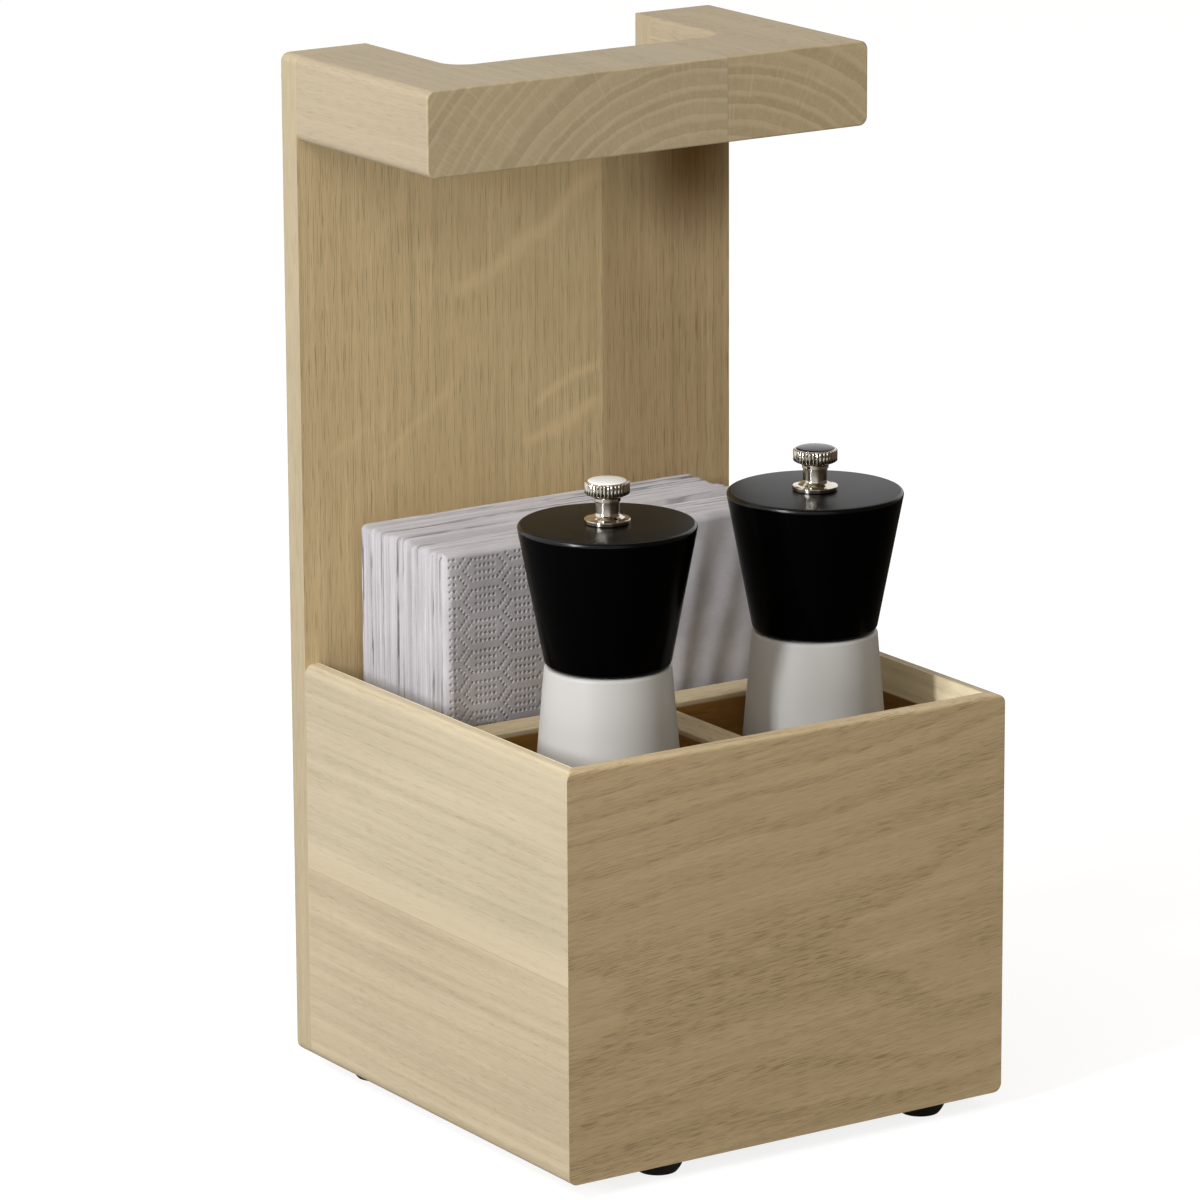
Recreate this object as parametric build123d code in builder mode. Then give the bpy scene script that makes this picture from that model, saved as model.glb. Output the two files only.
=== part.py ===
"""Oak table caddy: a box with two mill cells and a napkin bay, a back board that
carries a U-shaped handle block, a drawer under the cells and two grinder mills.

Millimetres. +Z is up, the front faces -Y, and the origin is the middle of the
footprint on the plane that the rubber feet stand on.
"""
import os
from math import asin, cos, sin, sqrt

from build123d import *

os.makedirs("parts", exist_ok=True)

# Overall sizes of the woodwork; its width and depth follow from what it holds
box_height = 128.0
total_height = 320.0
wall = 5.0
back_thickness = 10.0
edge_round = 2.8
arris = 0.6
rim_round = 1.4
rear_round = 2.0
overrun = 2.0
glue_gap = 0.05

# Rubber feet, each placed by its distance from the left and the front face
foot_height = 5.5
foot_radius = 8.4
foot_sole_radius = 6.0
foot_bulge_share = 0.72
foot_recess_radius = 3.7
foot_recess_depth = 2.6
foot_front_inset = 12.0
foot_rear_inset = 24.0
foot_front_left_inset = 39.5
foot_front_right_inset = 22.5
foot_rear_side_inset = 15.4
screw_radius = 1.7
screw_head_radius = 3.3
screw_head_height = 1.8
screw_length = 8.0

# Handle block and the notch that a hand goes through
handle_depth = 86.0
handle_thickness = 26.5
handle_arm = 30.0
handle_bar = 33.0
notch_round = 8.0
dowel_radius = 3.5
dowel_length = 26.0
dowel_in_back = 7.0
dowel_spacing = 14.0

# Boards inside the box
bottom_thickness = 6.0
floor_thickness = 6.0
floor_level = 47.0
divider_thickness = 11.5
divider_drop = 9.5
spline_thickness = 1.2
spline_width = 4.0
mitre_angle = 45.0

# Drawer under the floor board, which opens to the right
drawer_gap = 0.6
drawer_running_gap = 0.3
drawer_side = 6.0
drawer_back = 6.0
drawer_bottom_thickness = 3.0
drawer_groove_depth = 2.0
drawer_groove_lift = 2.0
drawer_rear_clearance = 1.0
drawer_back_clearance = 0.8
finger_hole_radius = 10.0
stop_width = 8.0
stop_height = 4.5
stop_clearance = 0.7
stop_length = 110.0
drawer_travel = 92.0

# Napkin stack
napkin_side = 125.0
napkin_stack_thickness = 53.0
napkin_front_clearance = 4.5
napkin_rear_clearance = 3.5
napkin_count = 20
napkin_crease_width = 0.35
napkin_crease_depth = 1.2
napkin_corner_round = 1.5
rest_gap = 0.3

# Mills: places, wooden body and head
mill_base_radius = 27.7
mill_front_clearance = 9.1
mill_rear_clearance = 8.0
mill_divider_clearance = 4.55
mill_side_clearance = 9.3
mill_waist_radius = 19.3
mill_body_height = 98.5
mill_head_gap = 0.4
mill_head_height = 43.5
mill_head_waist_inset = 0.2
mill_head_top_inset = 0.3
mill_edge_round = 1.2
head_foot_round = 1.8
head_rim_round = 0.9
chamber_radius = 13.0
spigot_length = 8.0
spigot_clearance = 0.2

# Mills: grinder
plate_rim = 6.7
plate_thickness = 1.6
plate_opening_radius = 12.4
plate_screw_radius = 0.9
plate_screw_head_radius = 1.7
plate_screw_length = 7.0
ring_radius = 15.0
ring_height = 15.0
ring_throat_radius = 9.2
ring_mouth_radius = 12.2
ring_cone_height = 6.4
bridge_thickness = 2.5
bridge_width = 10.0
spindle_side = 6.0
spindle_clearance = 0.15
spindle_flange_radius = 5.0
spindle_flange_height = 1.4
spindle_lift = 0.8
thread_radius = 2.9
thread_clearance = 0.1
thread_reach = 10.5
square_below_top = 10.0
cone_height = 9.0
cone_base_radius = 11.0
cone_top_radius = 7.0
cone_flutes = 10
flute_width = 1.2
flute_depth = 1.0
spring_wire_radius = 0.45
spring_radius = 5.8
spring_turns = 3
drive_plate_radius = 9.0
drive_plate_thickness = 2.0

# Mills: thumb nut
nut_flange_radius = 7.0
nut_flange_height = 1.5
nut_shoulder_radius = 4.9
nut_shoulder_height = 0.5
nut_cone_height = 1.4
nut_stem_radius = 3.75
nut_stem_height = 3.4
nut_collar_radius = 4.1
nut_collar_height = 1.4
nut_flare_height = 0.9
nut_knurl_radius = 6.75
nut_knurl_height = 3.4
nut_crown_radius = 6.3
nut_crown_height = 0.5
disc_radius = 5.9
disc_seat_depth = 0.8
disc_rise = 0.7
knurl_count = 36
knurl_depth = 0.35
knurl_width = 0.55

# Levels and faces that follow from the sizes above
mill_head_waist_radius = mill_waist_radius - mill_head_waist_inset
mill_head_top_radius = mill_base_radius - mill_head_top_inset
plate_radius = mill_base_radius - plate_rim
plate_screw_offset = (plate_radius + ring_radius) / 2
cell_width = mill_divider_clearance + 2 * mill_base_radius + mill_side_clearance
cell_depth = mill_front_clearance + 2 * mill_base_radius + mill_rear_clearance
napkin_bay_depth = napkin_front_clearance + napkin_stack_thickness + napkin_rear_clearance
body_width = divider_thickness + 2 * (cell_width + wall)
body_depth = wall + cell_depth + divider_thickness + napkin_bay_depth + back_thickness
half_width = body_width / 2
half_depth = body_depth / 2
front_face = -half_depth
inner_half_width = half_width - wall
inner_front = front_face + wall
back_front = half_depth - back_thickness
inner_width = 2 * inner_half_width
inner_depth = back_front - inner_front
inner_mid_y = (inner_front + back_front) / 2
underside = foot_height
box_top = underside + box_height
crown = underside + total_height
bottom_top = underside + bottom_thickness
floor_top = underside + floor_level
floor_bottom = floor_top - floor_thickness
divider_top = box_top - divider_drop
divider_height = divider_top - floor_top
napkin_divider_rear = back_front - napkin_bay_depth
napkin_divider_front = napkin_divider_rear - divider_thickness
handle_bottom = crown - handle_thickness
handle_front = half_depth - handle_depth
notch_front = handle_front + handle_bar
notch_width = body_width - 2 * handle_arm


def save(piece: Part, name: str) -> None:
    """Label a finished piece and write it to its own file."""
    piece.label = name
    export_step(piece, f"parts/{name}.step")


def outline_slab(low: float, high: float, near: float, far: float) -> Part:
    """The woodwork's rounded outline seen from the front, between two depths."""
    with BuildPart() as slab:
        with BuildSketch(Plane.XZ.offset(-near)):
            with Locations((0, (low + high) / 2)):
                RectangleRounded(body_width, high - low, edge_round)
        extrude(amount=near - far)
    return slab.part


def plan_prism(points: list[tuple[float, float]], low: float, high: float) -> Part:
    """A straight prism that stands on a plan outline."""
    with BuildPart() as prism:
        with BuildSketch(Plane.XY.offset(low)):
            with BuildLine():
                Polyline(*points, close=True)
            make_face()
        extrude(amount=high - low)
    return prism.part


def side_plan(sign: float, gap: float) -> list[tuple[float, float]]:
    """Plan of a side wall, mitred in front; gap draws both its ends in."""
    mitre_gap = gap * sqrt(2)
    return [
        (sign * half_width, front_face + mitre_gap),
        (sign * inner_half_width, inner_front + mitre_gap),
        (sign * inner_half_width, back_front - gap),
        (sign * half_width, back_front - gap),
    ]


# Back board, notched at the top, with sockets for the handle dowels
dowel_level = crown - handle_thickness / 2
dowel_places = [
    sign * (half_width - handle_arm / 2 + step * dowel_spacing / 2)
    for sign in (-1, 1)
    for step in (-1, 1)
]
with BuildPart() as back_board:
    add(outline_slab(underside, crown, back_front, half_depth))
    with BuildSketch(Plane.XZ.offset(-back_front)):
        with Locations((0, crown)):
            Rectangle(notch_width, 2 * handle_thickness)
    extrude(amount=-back_thickness, mode=Mode.SUBTRACT)
    with BuildSketch(Plane.XZ.offset(-back_front)):
        with Locations(*[(x, dowel_level) for x in dowel_places]):
            Circle(dowel_radius + glue_gap)
    extrude(amount=-dowel_in_back, mode=Mode.SUBTRACT)
    fillet(back_board.edges().group_by(Axis.Y)[-1], rear_round)
save(back_board.part, "back_board")

# Handle block: two arms and a front bar, cut from one thick board
with BuildPart() as handle_block:
    add(outline_slab(handle_bottom, crown, handle_front, back_front))
    with BuildSketch(Plane.XY.offset(handle_bottom)):
        with Locations((0, back_front)):
            RectangleRounded(notch_width, 2 * (back_front - notch_front), notch_round)
    extrude(amount=handle_thickness, mode=Mode.SUBTRACT)
    with BuildSketch(Plane.XZ.offset(-back_front)):
        with Locations(*[(x, dowel_level) for x in dowel_places]):
            Circle(dowel_radius + glue_gap)
    extrude(amount=dowel_length - dowel_in_back, mode=Mode.SUBTRACT)
    fillet(handle_block.edges().group_by(Axis.Y)[0], arris)
save(handle_block.part, "handle_block")

with BuildPart() as handle_dowels:
    with BuildSketch(Plane.XZ.offset(-(back_front + dowel_in_back))):
        with Locations(*[(x, dowel_level) for x in dowel_places]):
            Circle(dowel_radius)
    extrude(amount=dowel_length)
save(handle_dowels.part, "handle_dowels")

# Walls of the box, mitred at the front corners with a spline in each mitre
spline_inset = edge_round + rim_round
spline_low = underside + spline_inset
spline_high = box_top - spline_inset
mitre_middle = front_face + wall / 2
front_plan = [
    (-half_width, front_face),
    (half_width, front_face),
    (inner_half_width, inner_front),
    (-inner_half_width, inner_front),
]


def spline_bar(sign: float, low: float, play: float) -> Part:
    """The slip of wood across one front mitre, or with play its slot."""
    across = mitre_angle * sign
    with BuildPart() as bar:
        with BuildSketch(Plane.XY.offset(low)):
            with Locations(Location((sign * (half_width - wall / 2), mitre_middle, 0), (0, 0, across))):
                Rectangle(spline_width + 2 * play, spline_thickness + 2 * play)
        extrude(amount=spline_high - low)
    return bar.part


def front_section() -> Part:
    """The front wall's section, its outer top edge rounded, run across the whole width."""
    with BuildPart() as section:
        with BuildSketch(Plane.YZ.offset(-half_width)) as profile:
            with Locations((mitre_middle, (underside + box_top) / 2)):
                Rectangle(wall, box_height)
            fillet(profile.vertices().group_by(Axis.Y)[-1].sort_by(Axis.X)[0], rim_round)
        extrude(amount=body_width)
    return section.part


with BuildPart() as front_panel:
    add(outline_slab(underside, box_top, front_face, inner_front))
    add(front_section(), mode=Mode.INTERSECT)
    add(plan_prism(front_plan, underside, box_top), mode=Mode.INTERSECT)
    add(spline_bar(-1, spline_low, glue_gap), mode=Mode.SUBTRACT)
    add(spline_bar(1, floor_bottom, glue_gap), mode=Mode.SUBTRACT)
save(front_panel.part, "front_panel")

with BuildPart() as left_side:
    add(outline_slab(underside, box_top, front_face, back_front))
    add(plan_prism(side_plan(-1, 0), underside, box_top), mode=Mode.INTERSECT)
    add(spline_bar(-1, spline_low, glue_gap), mode=Mode.SUBTRACT)
save(left_side.part, "left_side")

with BuildPart() as right_side:
    add(outline_slab(underside, box_top, front_face, back_front))
    add(plan_prism(side_plan(1, 0), floor_bottom, box_top), mode=Mode.INTERSECT)
    add(spline_bar(1, floor_bottom, glue_gap), mode=Mode.SUBTRACT)
save(right_side.part, "right_side")

with BuildPart() as corner_splines:
    add(spline_bar(-1, spline_low, 0))
    add(spline_bar(1, floor_bottom, 0))
save(corner_splines.part, "corner_splines")

# Rubber feet and their screws
foot_places = {
    "front_left": (foot_front_left_inset - half_width, front_face + foot_front_inset),
    "front_right": (half_width - foot_front_right_inset, front_face + foot_front_inset),
    "rear_left": (foot_rear_side_inset - half_width, half_depth - foot_rear_inset),
    "rear_right": (half_width - foot_rear_side_inset, half_depth - foot_rear_inset),
}
foot_bulge = foot_height / 2
foot_middle_radius = foot_sole_radius + foot_bulge_share * (foot_radius - foot_sole_radius)


def rubber_foot(x: float, y: float) -> Part:
    """A domed foot with a flat sole, bored for its screw."""
    with BuildPart() as foot:
        with BuildSketch(Plane((x, y, 0), (1, 0, 0), (0, -1, 0))):
            with BuildLine():
                Line((screw_radius + glue_gap, foot_height), (foot_radius, foot_height))
                ThreePointArc(
                    (foot_radius, foot_height), (foot_middle_radius, foot_bulge), (foot_sole_radius, 0)
                )
                Polyline(
                    (foot_sole_radius, 0),
                    (foot_recess_radius, 0),
                    (foot_recess_radius, foot_recess_depth),
                    (screw_radius + glue_gap, foot_recess_depth),
                    (screw_radius + glue_gap, foot_height),
                )
            make_face()
        revolve(axis=Axis((x, y, 0), (0, 0, 1)))
    return foot.part


for place, (foot_x, foot_y) in foot_places.items():
    save(rubber_foot(foot_x, foot_y), f"foot_{place}")

with BuildPart() as foot_screws:
    with BuildSketch(Plane.XY.offset(foot_recess_depth)):
        with Locations(*foot_places.values()):
            Circle(screw_radius)
    extrude(amount=screw_length)
    with BuildSketch(Plane.XY.offset(foot_recess_depth)):
        with Locations(*foot_places.values()):
            Circle(screw_head_radius)
    extrude(amount=-screw_head_height)
save(foot_screws.part, "foot_screws")

# Bottom board, floor board and dividers
with BuildPart() as bottom_board:
    with BuildSketch(Plane.XY.offset(underside)):
        with Locations((-drawer_gap / 2, inner_mid_y)):
            Rectangle(inner_width - drawer_gap, inner_depth)
    extrude(amount=bottom_thickness)
    with BuildSketch(Plane.XY.offset(underside)):
        with Locations(*foot_places.values()):
            Circle(screw_radius + glue_gap)
    extrude(amount=screw_length + foot_recess_depth - foot_height + glue_gap, mode=Mode.SUBTRACT)
save(bottom_board.part, "bottom_board")

with BuildPart() as floor_board:
    with BuildSketch(Plane.XY.offset(floor_bottom)):
        with Locations((0, inner_mid_y)):
            Rectangle(inner_width, inner_depth)
    extrude(amount=floor_thickness)
save(floor_board.part, "floor_board")

with BuildPart() as napkin_divider:
    with BuildSketch(Plane.XY.offset(floor_top)):
        with Locations((0, (napkin_divider_front + napkin_divider_rear) / 2)):
            Rectangle(inner_width, divider_thickness)
    extrude(amount=divider_height)
    fillet(napkin_divider.edges().filter_by(Axis.X).group_by(Axis.Z)[-1], arris)
save(napkin_divider.part, "napkin_divider")

with BuildPart() as cell_divider:
    with BuildSketch(Plane.XY.offset(floor_top)):
        with Locations((0, (inner_front + napkin_divider_front) / 2)):
            Rectangle(divider_thickness, napkin_divider_front - inner_front)
    extrude(amount=divider_height)
    fillet(cell_divider.edges().filter_by(Axis.Y).group_by(Axis.Z)[-1], arris)
save(cell_divider.part, "cell_divider")

# Drawer: its front is the lower strip of the right side, its box runs on the bottom board
drawer_low = bottom_top + drawer_running_gap
drawer_front_top = floor_bottom - drawer_gap
drawer_side_top = floor_bottom - stop_height - stop_clearance
drawer_back_top = floor_bottom - drawer_back_clearance
drawer_left = -inner_half_width + drawer_rear_clearance
drawer_length = inner_half_width - drawer_left
drawer_near = inner_front + drawer_gap
drawer_far = back_front - drawer_gap
drawer_groove_low = drawer_low + drawer_groove_lift
drawer_inner_width = drawer_far - drawer_near - 2 * drawer_side
drawer_mid_x = (drawer_left + inner_half_width) / 2
drawer_mid_y = (drawer_near + drawer_far) / 2
drawer_back_inner = drawer_left + drawer_back

with BuildPart() as drawer_front:
    add(outline_slab(underside, box_top, front_face, back_front))
    add(plan_prism(side_plan(1, drawer_gap), underside, drawer_front_top), mode=Mode.INTERSECT)
    with BuildSketch(Plane.YZ.offset(inner_half_width)):
        with Locations((drawer_mid_y, (underside + drawer_front_top) / 2)):
            Circle(finger_hole_radius)
    extrude(amount=wall, mode=Mode.SUBTRACT)
save(drawer_front.part, "drawer_front")


def drawer_side_board(near: float, groove_near: float) -> Part:
    """One long side of the drawer, grooved for its bottom."""
    with BuildPart() as side:
        with BuildSketch(Plane.XY.offset(drawer_low)):
            with Locations((drawer_mid_x, near + drawer_side / 2)):
                Rectangle(drawer_length, drawer_side)
        extrude(amount=drawer_side_top - drawer_low)
        with BuildSketch(Plane.XY.offset(drawer_groove_low)):
            with Locations((drawer_mid_x, groove_near + drawer_groove_depth / 2)):
                Rectangle(drawer_length, drawer_groove_depth)
        extrude(amount=drawer_bottom_thickness, mode=Mode.SUBTRACT)
    return side.part


save(
    drawer_side_board(drawer_near, drawer_near + drawer_side - drawer_groove_depth),
    "drawer_side_near",
)
save(drawer_side_board(drawer_far - drawer_side, drawer_far - drawer_side), "drawer_side_far")

with BuildPart() as drawer_back_board:
    with BuildSketch(Plane.XY.offset(drawer_groove_low + drawer_bottom_thickness)):
        with Locations((drawer_left + drawer_back / 2, drawer_mid_y)):
            Rectangle(drawer_back, drawer_inner_width)
    extrude(amount=drawer_back_top - drawer_groove_low - drawer_bottom_thickness)
save(drawer_back_board.part, "drawer_back")

with BuildPart() as drawer_bottom:
    with BuildSketch(Plane.XY.offset(drawer_groove_low)):
        with Locations((drawer_mid_x, drawer_mid_y)):
            Rectangle(drawer_length, drawer_inner_width + 2 * (drawer_groove_depth - glue_gap))
    extrude(amount=drawer_bottom_thickness)
save(drawer_bottom.part, "drawer_bottom")

with BuildPart() as drawer_stop:
    with BuildSketch(Plane.XY.offset(floor_bottom)):
        with Locations((drawer_back_inner + drawer_travel + stop_width / 2, drawer_mid_y)):
            Rectangle(stop_width, stop_length)
    extrude(amount=-stop_height)
save(drawer_stop.part, "drawer_stop")

# Napkin stack, folded napkins that stand on edge behind the divider
napkin_front = napkin_divider_rear + napkin_front_clearance
napkin_pitch = napkin_stack_thickness / napkin_count
with BuildPart() as napkin_stack:
    with BuildSketch(Plane.XZ.offset(-napkin_front)):
        with Locations((0, floor_top + rest_gap + napkin_side / 2)):
            RectangleRounded(napkin_side, napkin_side, napkin_corner_round)
    extrude(amount=-napkin_stack_thickness)
    for crease in range(1, napkin_count):
        crease_near = napkin_front + crease * napkin_pitch - napkin_crease_width / 2
        with BuildSketch(Plane.XZ.offset(-crease_near)):
            with Locations((0, floor_top + rest_gap + napkin_side / 2)):
                Rectangle(napkin_side + 2 * overrun, napkin_side + 2 * overrun)
                Rectangle(
                    napkin_side - 2 * napkin_crease_depth,
                    napkin_side - 2 * napkin_crease_depth,
                    mode=Mode.SUBTRACT,
                )
        extrude(amount=-napkin_crease_width, mode=Mode.SUBTRACT)
save(napkin_stack.part, "napkin_stack")

# Mills, each built about its own upright axis from the floor board up
mill_y = inner_front + mill_front_clearance + mill_base_radius
mill_offset = divider_thickness / 2 + mill_divider_clearance + mill_base_radius
mill_base = floor_top + rest_gap
mill_top = mill_body_height + mill_head_gap + mill_head_height
head_foot = mill_body_height + mill_head_gap
spigot_foot = head_foot - spigot_length
spigot_radius = chamber_radius - spigot_clearance
pocket_top = plate_thickness + ring_height + bridge_thickness
spindle_bore = spindle_side / sqrt(2) + spindle_clearance
cone_foot = spindle_lift + spindle_flange_height
cone_crown = cone_foot + cone_height
spring_foot = cone_crown + spring_wire_radius
spring_crown = plate_thickness + ring_height - spring_wire_radius - rest_gap
nut_shoulder = mill_top + nut_flange_height + nut_shoulder_height
nut_stem_foot = nut_shoulder + nut_cone_height
nut_stem_crown = nut_stem_foot + nut_stem_height
nut_collar_crown = nut_stem_crown + nut_collar_height
nut_knurl_foot = nut_collar_crown + nut_flare_height
nut_knurl_crown = nut_knurl_foot + nut_knurl_height
nut_crown = nut_knurl_crown + nut_crown_height


def mill_plane(x: float) -> Plane:
    """Upright plane through a mill's axis: radius to the right, height up from its foot."""
    return Plane((x, mill_y, mill_base), (1, 0, 0), (0, -1, 0))


def mill_level(x: float, level: float) -> Plane:
    """Level plane at a height above a mill's foot, centred on its axis."""
    return Plane((x, mill_y, mill_base + level), (1, 0, 0), (0, 0, 1))


def mill_axis(x: float) -> Axis:
    """The upright axis of a mill."""
    return Axis((x, mill_y, 0), (0, 0, 1))


def turned(x: float, outline: list[tuple[float, float]]) -> Part:
    """A turned piece from an outline of radius and height."""
    with BuildPart() as piece:
        with BuildSketch(mill_plane(x)):
            with BuildLine():
                Polyline(*outline, close=True)
            make_face()
        revolve(axis=mill_axis(x))
    return piece.part


def mill_body(x: float) -> Part:
    """Conical wooden body with the spice chamber and the grinder's pocket."""
    outline = [
        (plate_radius + glue_gap, 0),
        (mill_base_radius, 0),
        (mill_waist_radius, mill_body_height),
        (chamber_radius, mill_body_height),
        (chamber_radius, pocket_top),
        (ring_radius, pocket_top),
        (ring_radius, plate_thickness),
        (plate_radius + glue_gap, plate_thickness),
    ]
    with BuildPart() as body:
        add(turned(x, outline))
        rims = body.edges().filter_by(GeomType.CIRCLE)
        outer_rims = [
            rims.filter_by(lambda edge: abs(edge.radius - radius) < glue_gap)
            for radius in (mill_base_radius, mill_waist_radius)
        ]
        fillet(outer_rims[0] + outer_rims[1], mill_edge_round)
        with BuildSketch(mill_level(x, plate_thickness)):
            with PolarLocations(plate_screw_offset, 2):
                Circle(plate_screw_radius + glue_gap)
        extrude(amount=plate_screw_length - plate_thickness + glue_gap, mode=Mode.SUBTRACT)
    return body.part


def mill_head(x: float) -> Part:
    """Conical wooden head with the spigot that centres it in the chamber."""
    outline = [
        (spindle_bore, mill_top),
        (mill_head_top_radius, mill_top),
        (mill_head_waist_radius, head_foot),
        (spigot_radius, head_foot),
        (spigot_radius, spigot_foot),
        (drive_plate_radius + glue_gap, spigot_foot),
        (drive_plate_radius + glue_gap, spigot_foot + drive_plate_thickness),
        (spindle_bore, spigot_foot + drive_plate_thickness),
    ]
    with BuildPart() as head:
        add(turned(x, outline))
        rims = head.edges().filter_by(GeomType.CIRCLE)
        foot_rim = rims.filter_by(lambda edge: abs(edge.radius - mill_head_waist_radius) < glue_gap)
        fillet(foot_rim, head_foot_round)
        rims = head.edges().filter_by(GeomType.CIRCLE)
        top_rim = rims.filter_by(lambda edge: abs(edge.radius - mill_head_top_radius) < glue_gap)
        fillet(top_rim, head_rim_round)
    return head.part


def thumb_nut(x: float) -> Part:
    """Turned thumb nut with a flange, a waisted stem, a knurled rim and a seat for its disc."""
    bore = thread_radius + thread_clearance
    seat_radius = disc_radius + glue_gap
    outline = [
        (bore, mill_top),
        (nut_flange_radius, mill_top),
        (nut_flange_radius, mill_top + nut_flange_height),
        (nut_shoulder_radius, nut_shoulder),
        (nut_stem_radius, nut_stem_foot),
        (nut_stem_radius, nut_stem_crown),
        (nut_collar_radius, nut_collar_crown),
        (nut_knurl_radius, nut_knurl_foot),
        (nut_knurl_radius, nut_knurl_crown),
        (nut_crown_radius, nut_crown),
        (seat_radius, nut_crown),
        (seat_radius, nut_crown - disc_seat_depth),
        (0, nut_crown - disc_seat_depth),
        (0, mill_top + thread_reach + rest_gap),
        (bore, mill_top + thread_reach + rest_gap),
    ]
    with BuildPart() as nut:
        add(turned(x, outline))
        with BuildSketch(mill_level(x, nut_knurl_foot)):
            with PolarLocations(nut_knurl_radius, knurl_count):
                Rectangle(2 * knurl_depth, knurl_width)
        extrude(amount=nut_knurl_height, mode=Mode.SUBTRACT)
    return nut.part


def cap_disc(x: float) -> Part:
    """Domed disc let into the top of the thumb nut."""
    dome_radius = (disc_radius**2 + disc_rise**2) / (2 * disc_rise)
    half_turn = asin(disc_radius / dome_radius) / 2
    dome_middle = (
        dome_radius * sin(half_turn),
        nut_crown + disc_rise - dome_radius * (1 - cos(half_turn)),
    )
    with BuildPart() as disc:
        with BuildSketch(mill_plane(x)):
            with BuildLine():
                Polyline(
                    (0, nut_crown + disc_rise),
                    (0, nut_crown - disc_seat_depth),
                    (disc_radius, nut_crown - disc_seat_depth),
                    (disc_radius, nut_crown),
                )
                ThreePointArc((disc_radius, nut_crown), dome_middle, (0, nut_crown + disc_rise))
            make_face()
        revolve(axis=mill_axis(x))
    return disc.part


def spindle(x: float) -> Part:
    """Square steel spindle with a foot flange and a threaded end."""
    square_height = mill_top - square_below_top - spindle_lift
    with BuildPart() as rod:
        with BuildSketch(mill_level(x, spindle_lift)):
            Circle(spindle_flange_radius)
        extrude(amount=spindle_flange_height)
        with BuildSketch(mill_level(x, spindle_lift)):
            Rectangle(spindle_side, spindle_side)
        extrude(amount=square_height)
        with BuildSketch(mill_level(x, spindle_lift + square_height)):
            Circle(thread_radius)
        extrude(amount=square_below_top + thread_reach)
    return rod.part


def drive_plate(x: float) -> Part:
    """Steel plate in the head's spigot; its square hole turns the spindle."""
    with BuildPart() as plate:
        with BuildSketch(mill_level(x, spigot_foot)):
            Circle(drive_plate_radius)
            Rectangle(
                spindle_side + 2 * spindle_clearance,
                spindle_side + 2 * spindle_clearance,
                mode=Mode.SUBTRACT,
            )
        extrude(amount=drive_plate_thickness)
    return plate.part


def burr_ring(x: float) -> Part:
    """Fixed grinding ring, pressed up against the bridge by the retaining plate."""
    outline = [
        (ring_mouth_radius, plate_thickness),
        (ring_radius - glue_gap, plate_thickness),
        (ring_radius - glue_gap, plate_thickness + ring_height),
        (ring_throat_radius, plate_thickness + ring_height),
        (ring_throat_radius, plate_thickness + ring_cone_height),
    ]
    return turned(x, outline)


def burr_cone(x: float) -> Part:
    """Turning cone with straight flutes, carried by the spindle."""
    hole_side = spindle_side + 2 * glue_gap
    flute_root = cone_top_radius - flute_depth
    flute_reach = cone_base_radius + overrun - flute_root
    outline = [
        (0, cone_foot),
        (cone_base_radius, cone_foot),
        (cone_top_radius, cone_crown),
        (0, cone_crown),
    ]
    with BuildPart() as cone:
        add(turned(x, outline))
        with BuildSketch(mill_level(x, cone_foot)):
            with PolarLocations(flute_root + flute_reach / 2, cone_flutes):
                Rectangle(flute_reach, flute_width)
            Rectangle(hole_side, hole_side)
        extrude(amount=cone_height, mode=Mode.SUBTRACT)
    return cone.part


def spring(x: float) -> Part:
    """Short coil spring round the spindle, between the cone and the bridge."""
    rise = spring_crown - spring_foot
    with BuildPart() as coil:
        with BuildLine(mill_level(x, spring_foot)):
            path = Helix(pitch=rise / spring_turns, height=rise, radius=spring_radius)
        with BuildSketch(Plane(path @ 0, z_dir=path % 0)):
            Circle(spring_wire_radius)
        sweep(path=path, is_frenet=True)
    return coil.part


def spindle_bridge(x: float) -> Part:
    """Bar across the body above the ring that guides the spindle."""
    with BuildPart() as bridge:
        with BuildSketch(mill_level(x, plate_thickness + ring_height)):
            Circle(ring_radius - glue_gap)
            Rectangle(2 * ring_radius, bridge_width, mode=Mode.INTERSECT)
            Circle(spindle_bore, mode=Mode.SUBTRACT)
        extrude(amount=bridge_thickness)
    return bridge.part


def retaining_plate(x: float) -> Part:
    """Steel ring let into the foot of the body, under the grinder."""
    with BuildPart() as plate:
        with BuildSketch(mill_level(x, 0)):
            Circle(plate_radius)
            Circle(plate_opening_radius, mode=Mode.SUBTRACT)
            with PolarLocations(plate_screw_offset, 2):
                Circle(plate_screw_radius + glue_gap, mode=Mode.SUBTRACT)
        extrude(amount=plate_thickness)
        with BuildSketch(mill_level(x, 0)):
            with PolarLocations(plate_screw_offset, 2):
                Circle(plate_screw_head_radius + glue_gap)
        extrude(amount=plate_thickness / 2, mode=Mode.SUBTRACT)
    return plate.part


def plate_screws(x: float) -> Part:
    """The two screws of the retaining plate, heads sunk in it."""
    with BuildPart() as screws:
        with BuildSketch(mill_level(x, 0)):
            with PolarLocations(plate_screw_offset, 2):
                Circle(plate_screw_head_radius)
        extrude(amount=plate_thickness / 2)
        with BuildSketch(mill_level(x, 0)):
            with PolarLocations(plate_screw_offset, 2):
                Circle(plate_screw_radius)
        extrude(amount=plate_screw_length)
    return screws.part


mill_pieces = {
    "body": mill_body,
    "head": mill_head,
    "thumb_nut": thumb_nut,
    "cap_disc": cap_disc,
    "spindle": spindle,
    "drive_plate": drive_plate,
    "burr_ring": burr_ring,
    "burr_cone": burr_cone,
    "spring": spring,
    "bridge": spindle_bridge,
    "retaining_plate": retaining_plate,
    "plate_screws": plate_screws,
}
for mill_side, mill_sign in (("left", -1), ("right", 1)):
    for piece_name, make_piece in mill_pieces.items():
        save(make_piece(mill_sign * mill_offset), f"{mill_side}_mill_{piece_name}")
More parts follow.
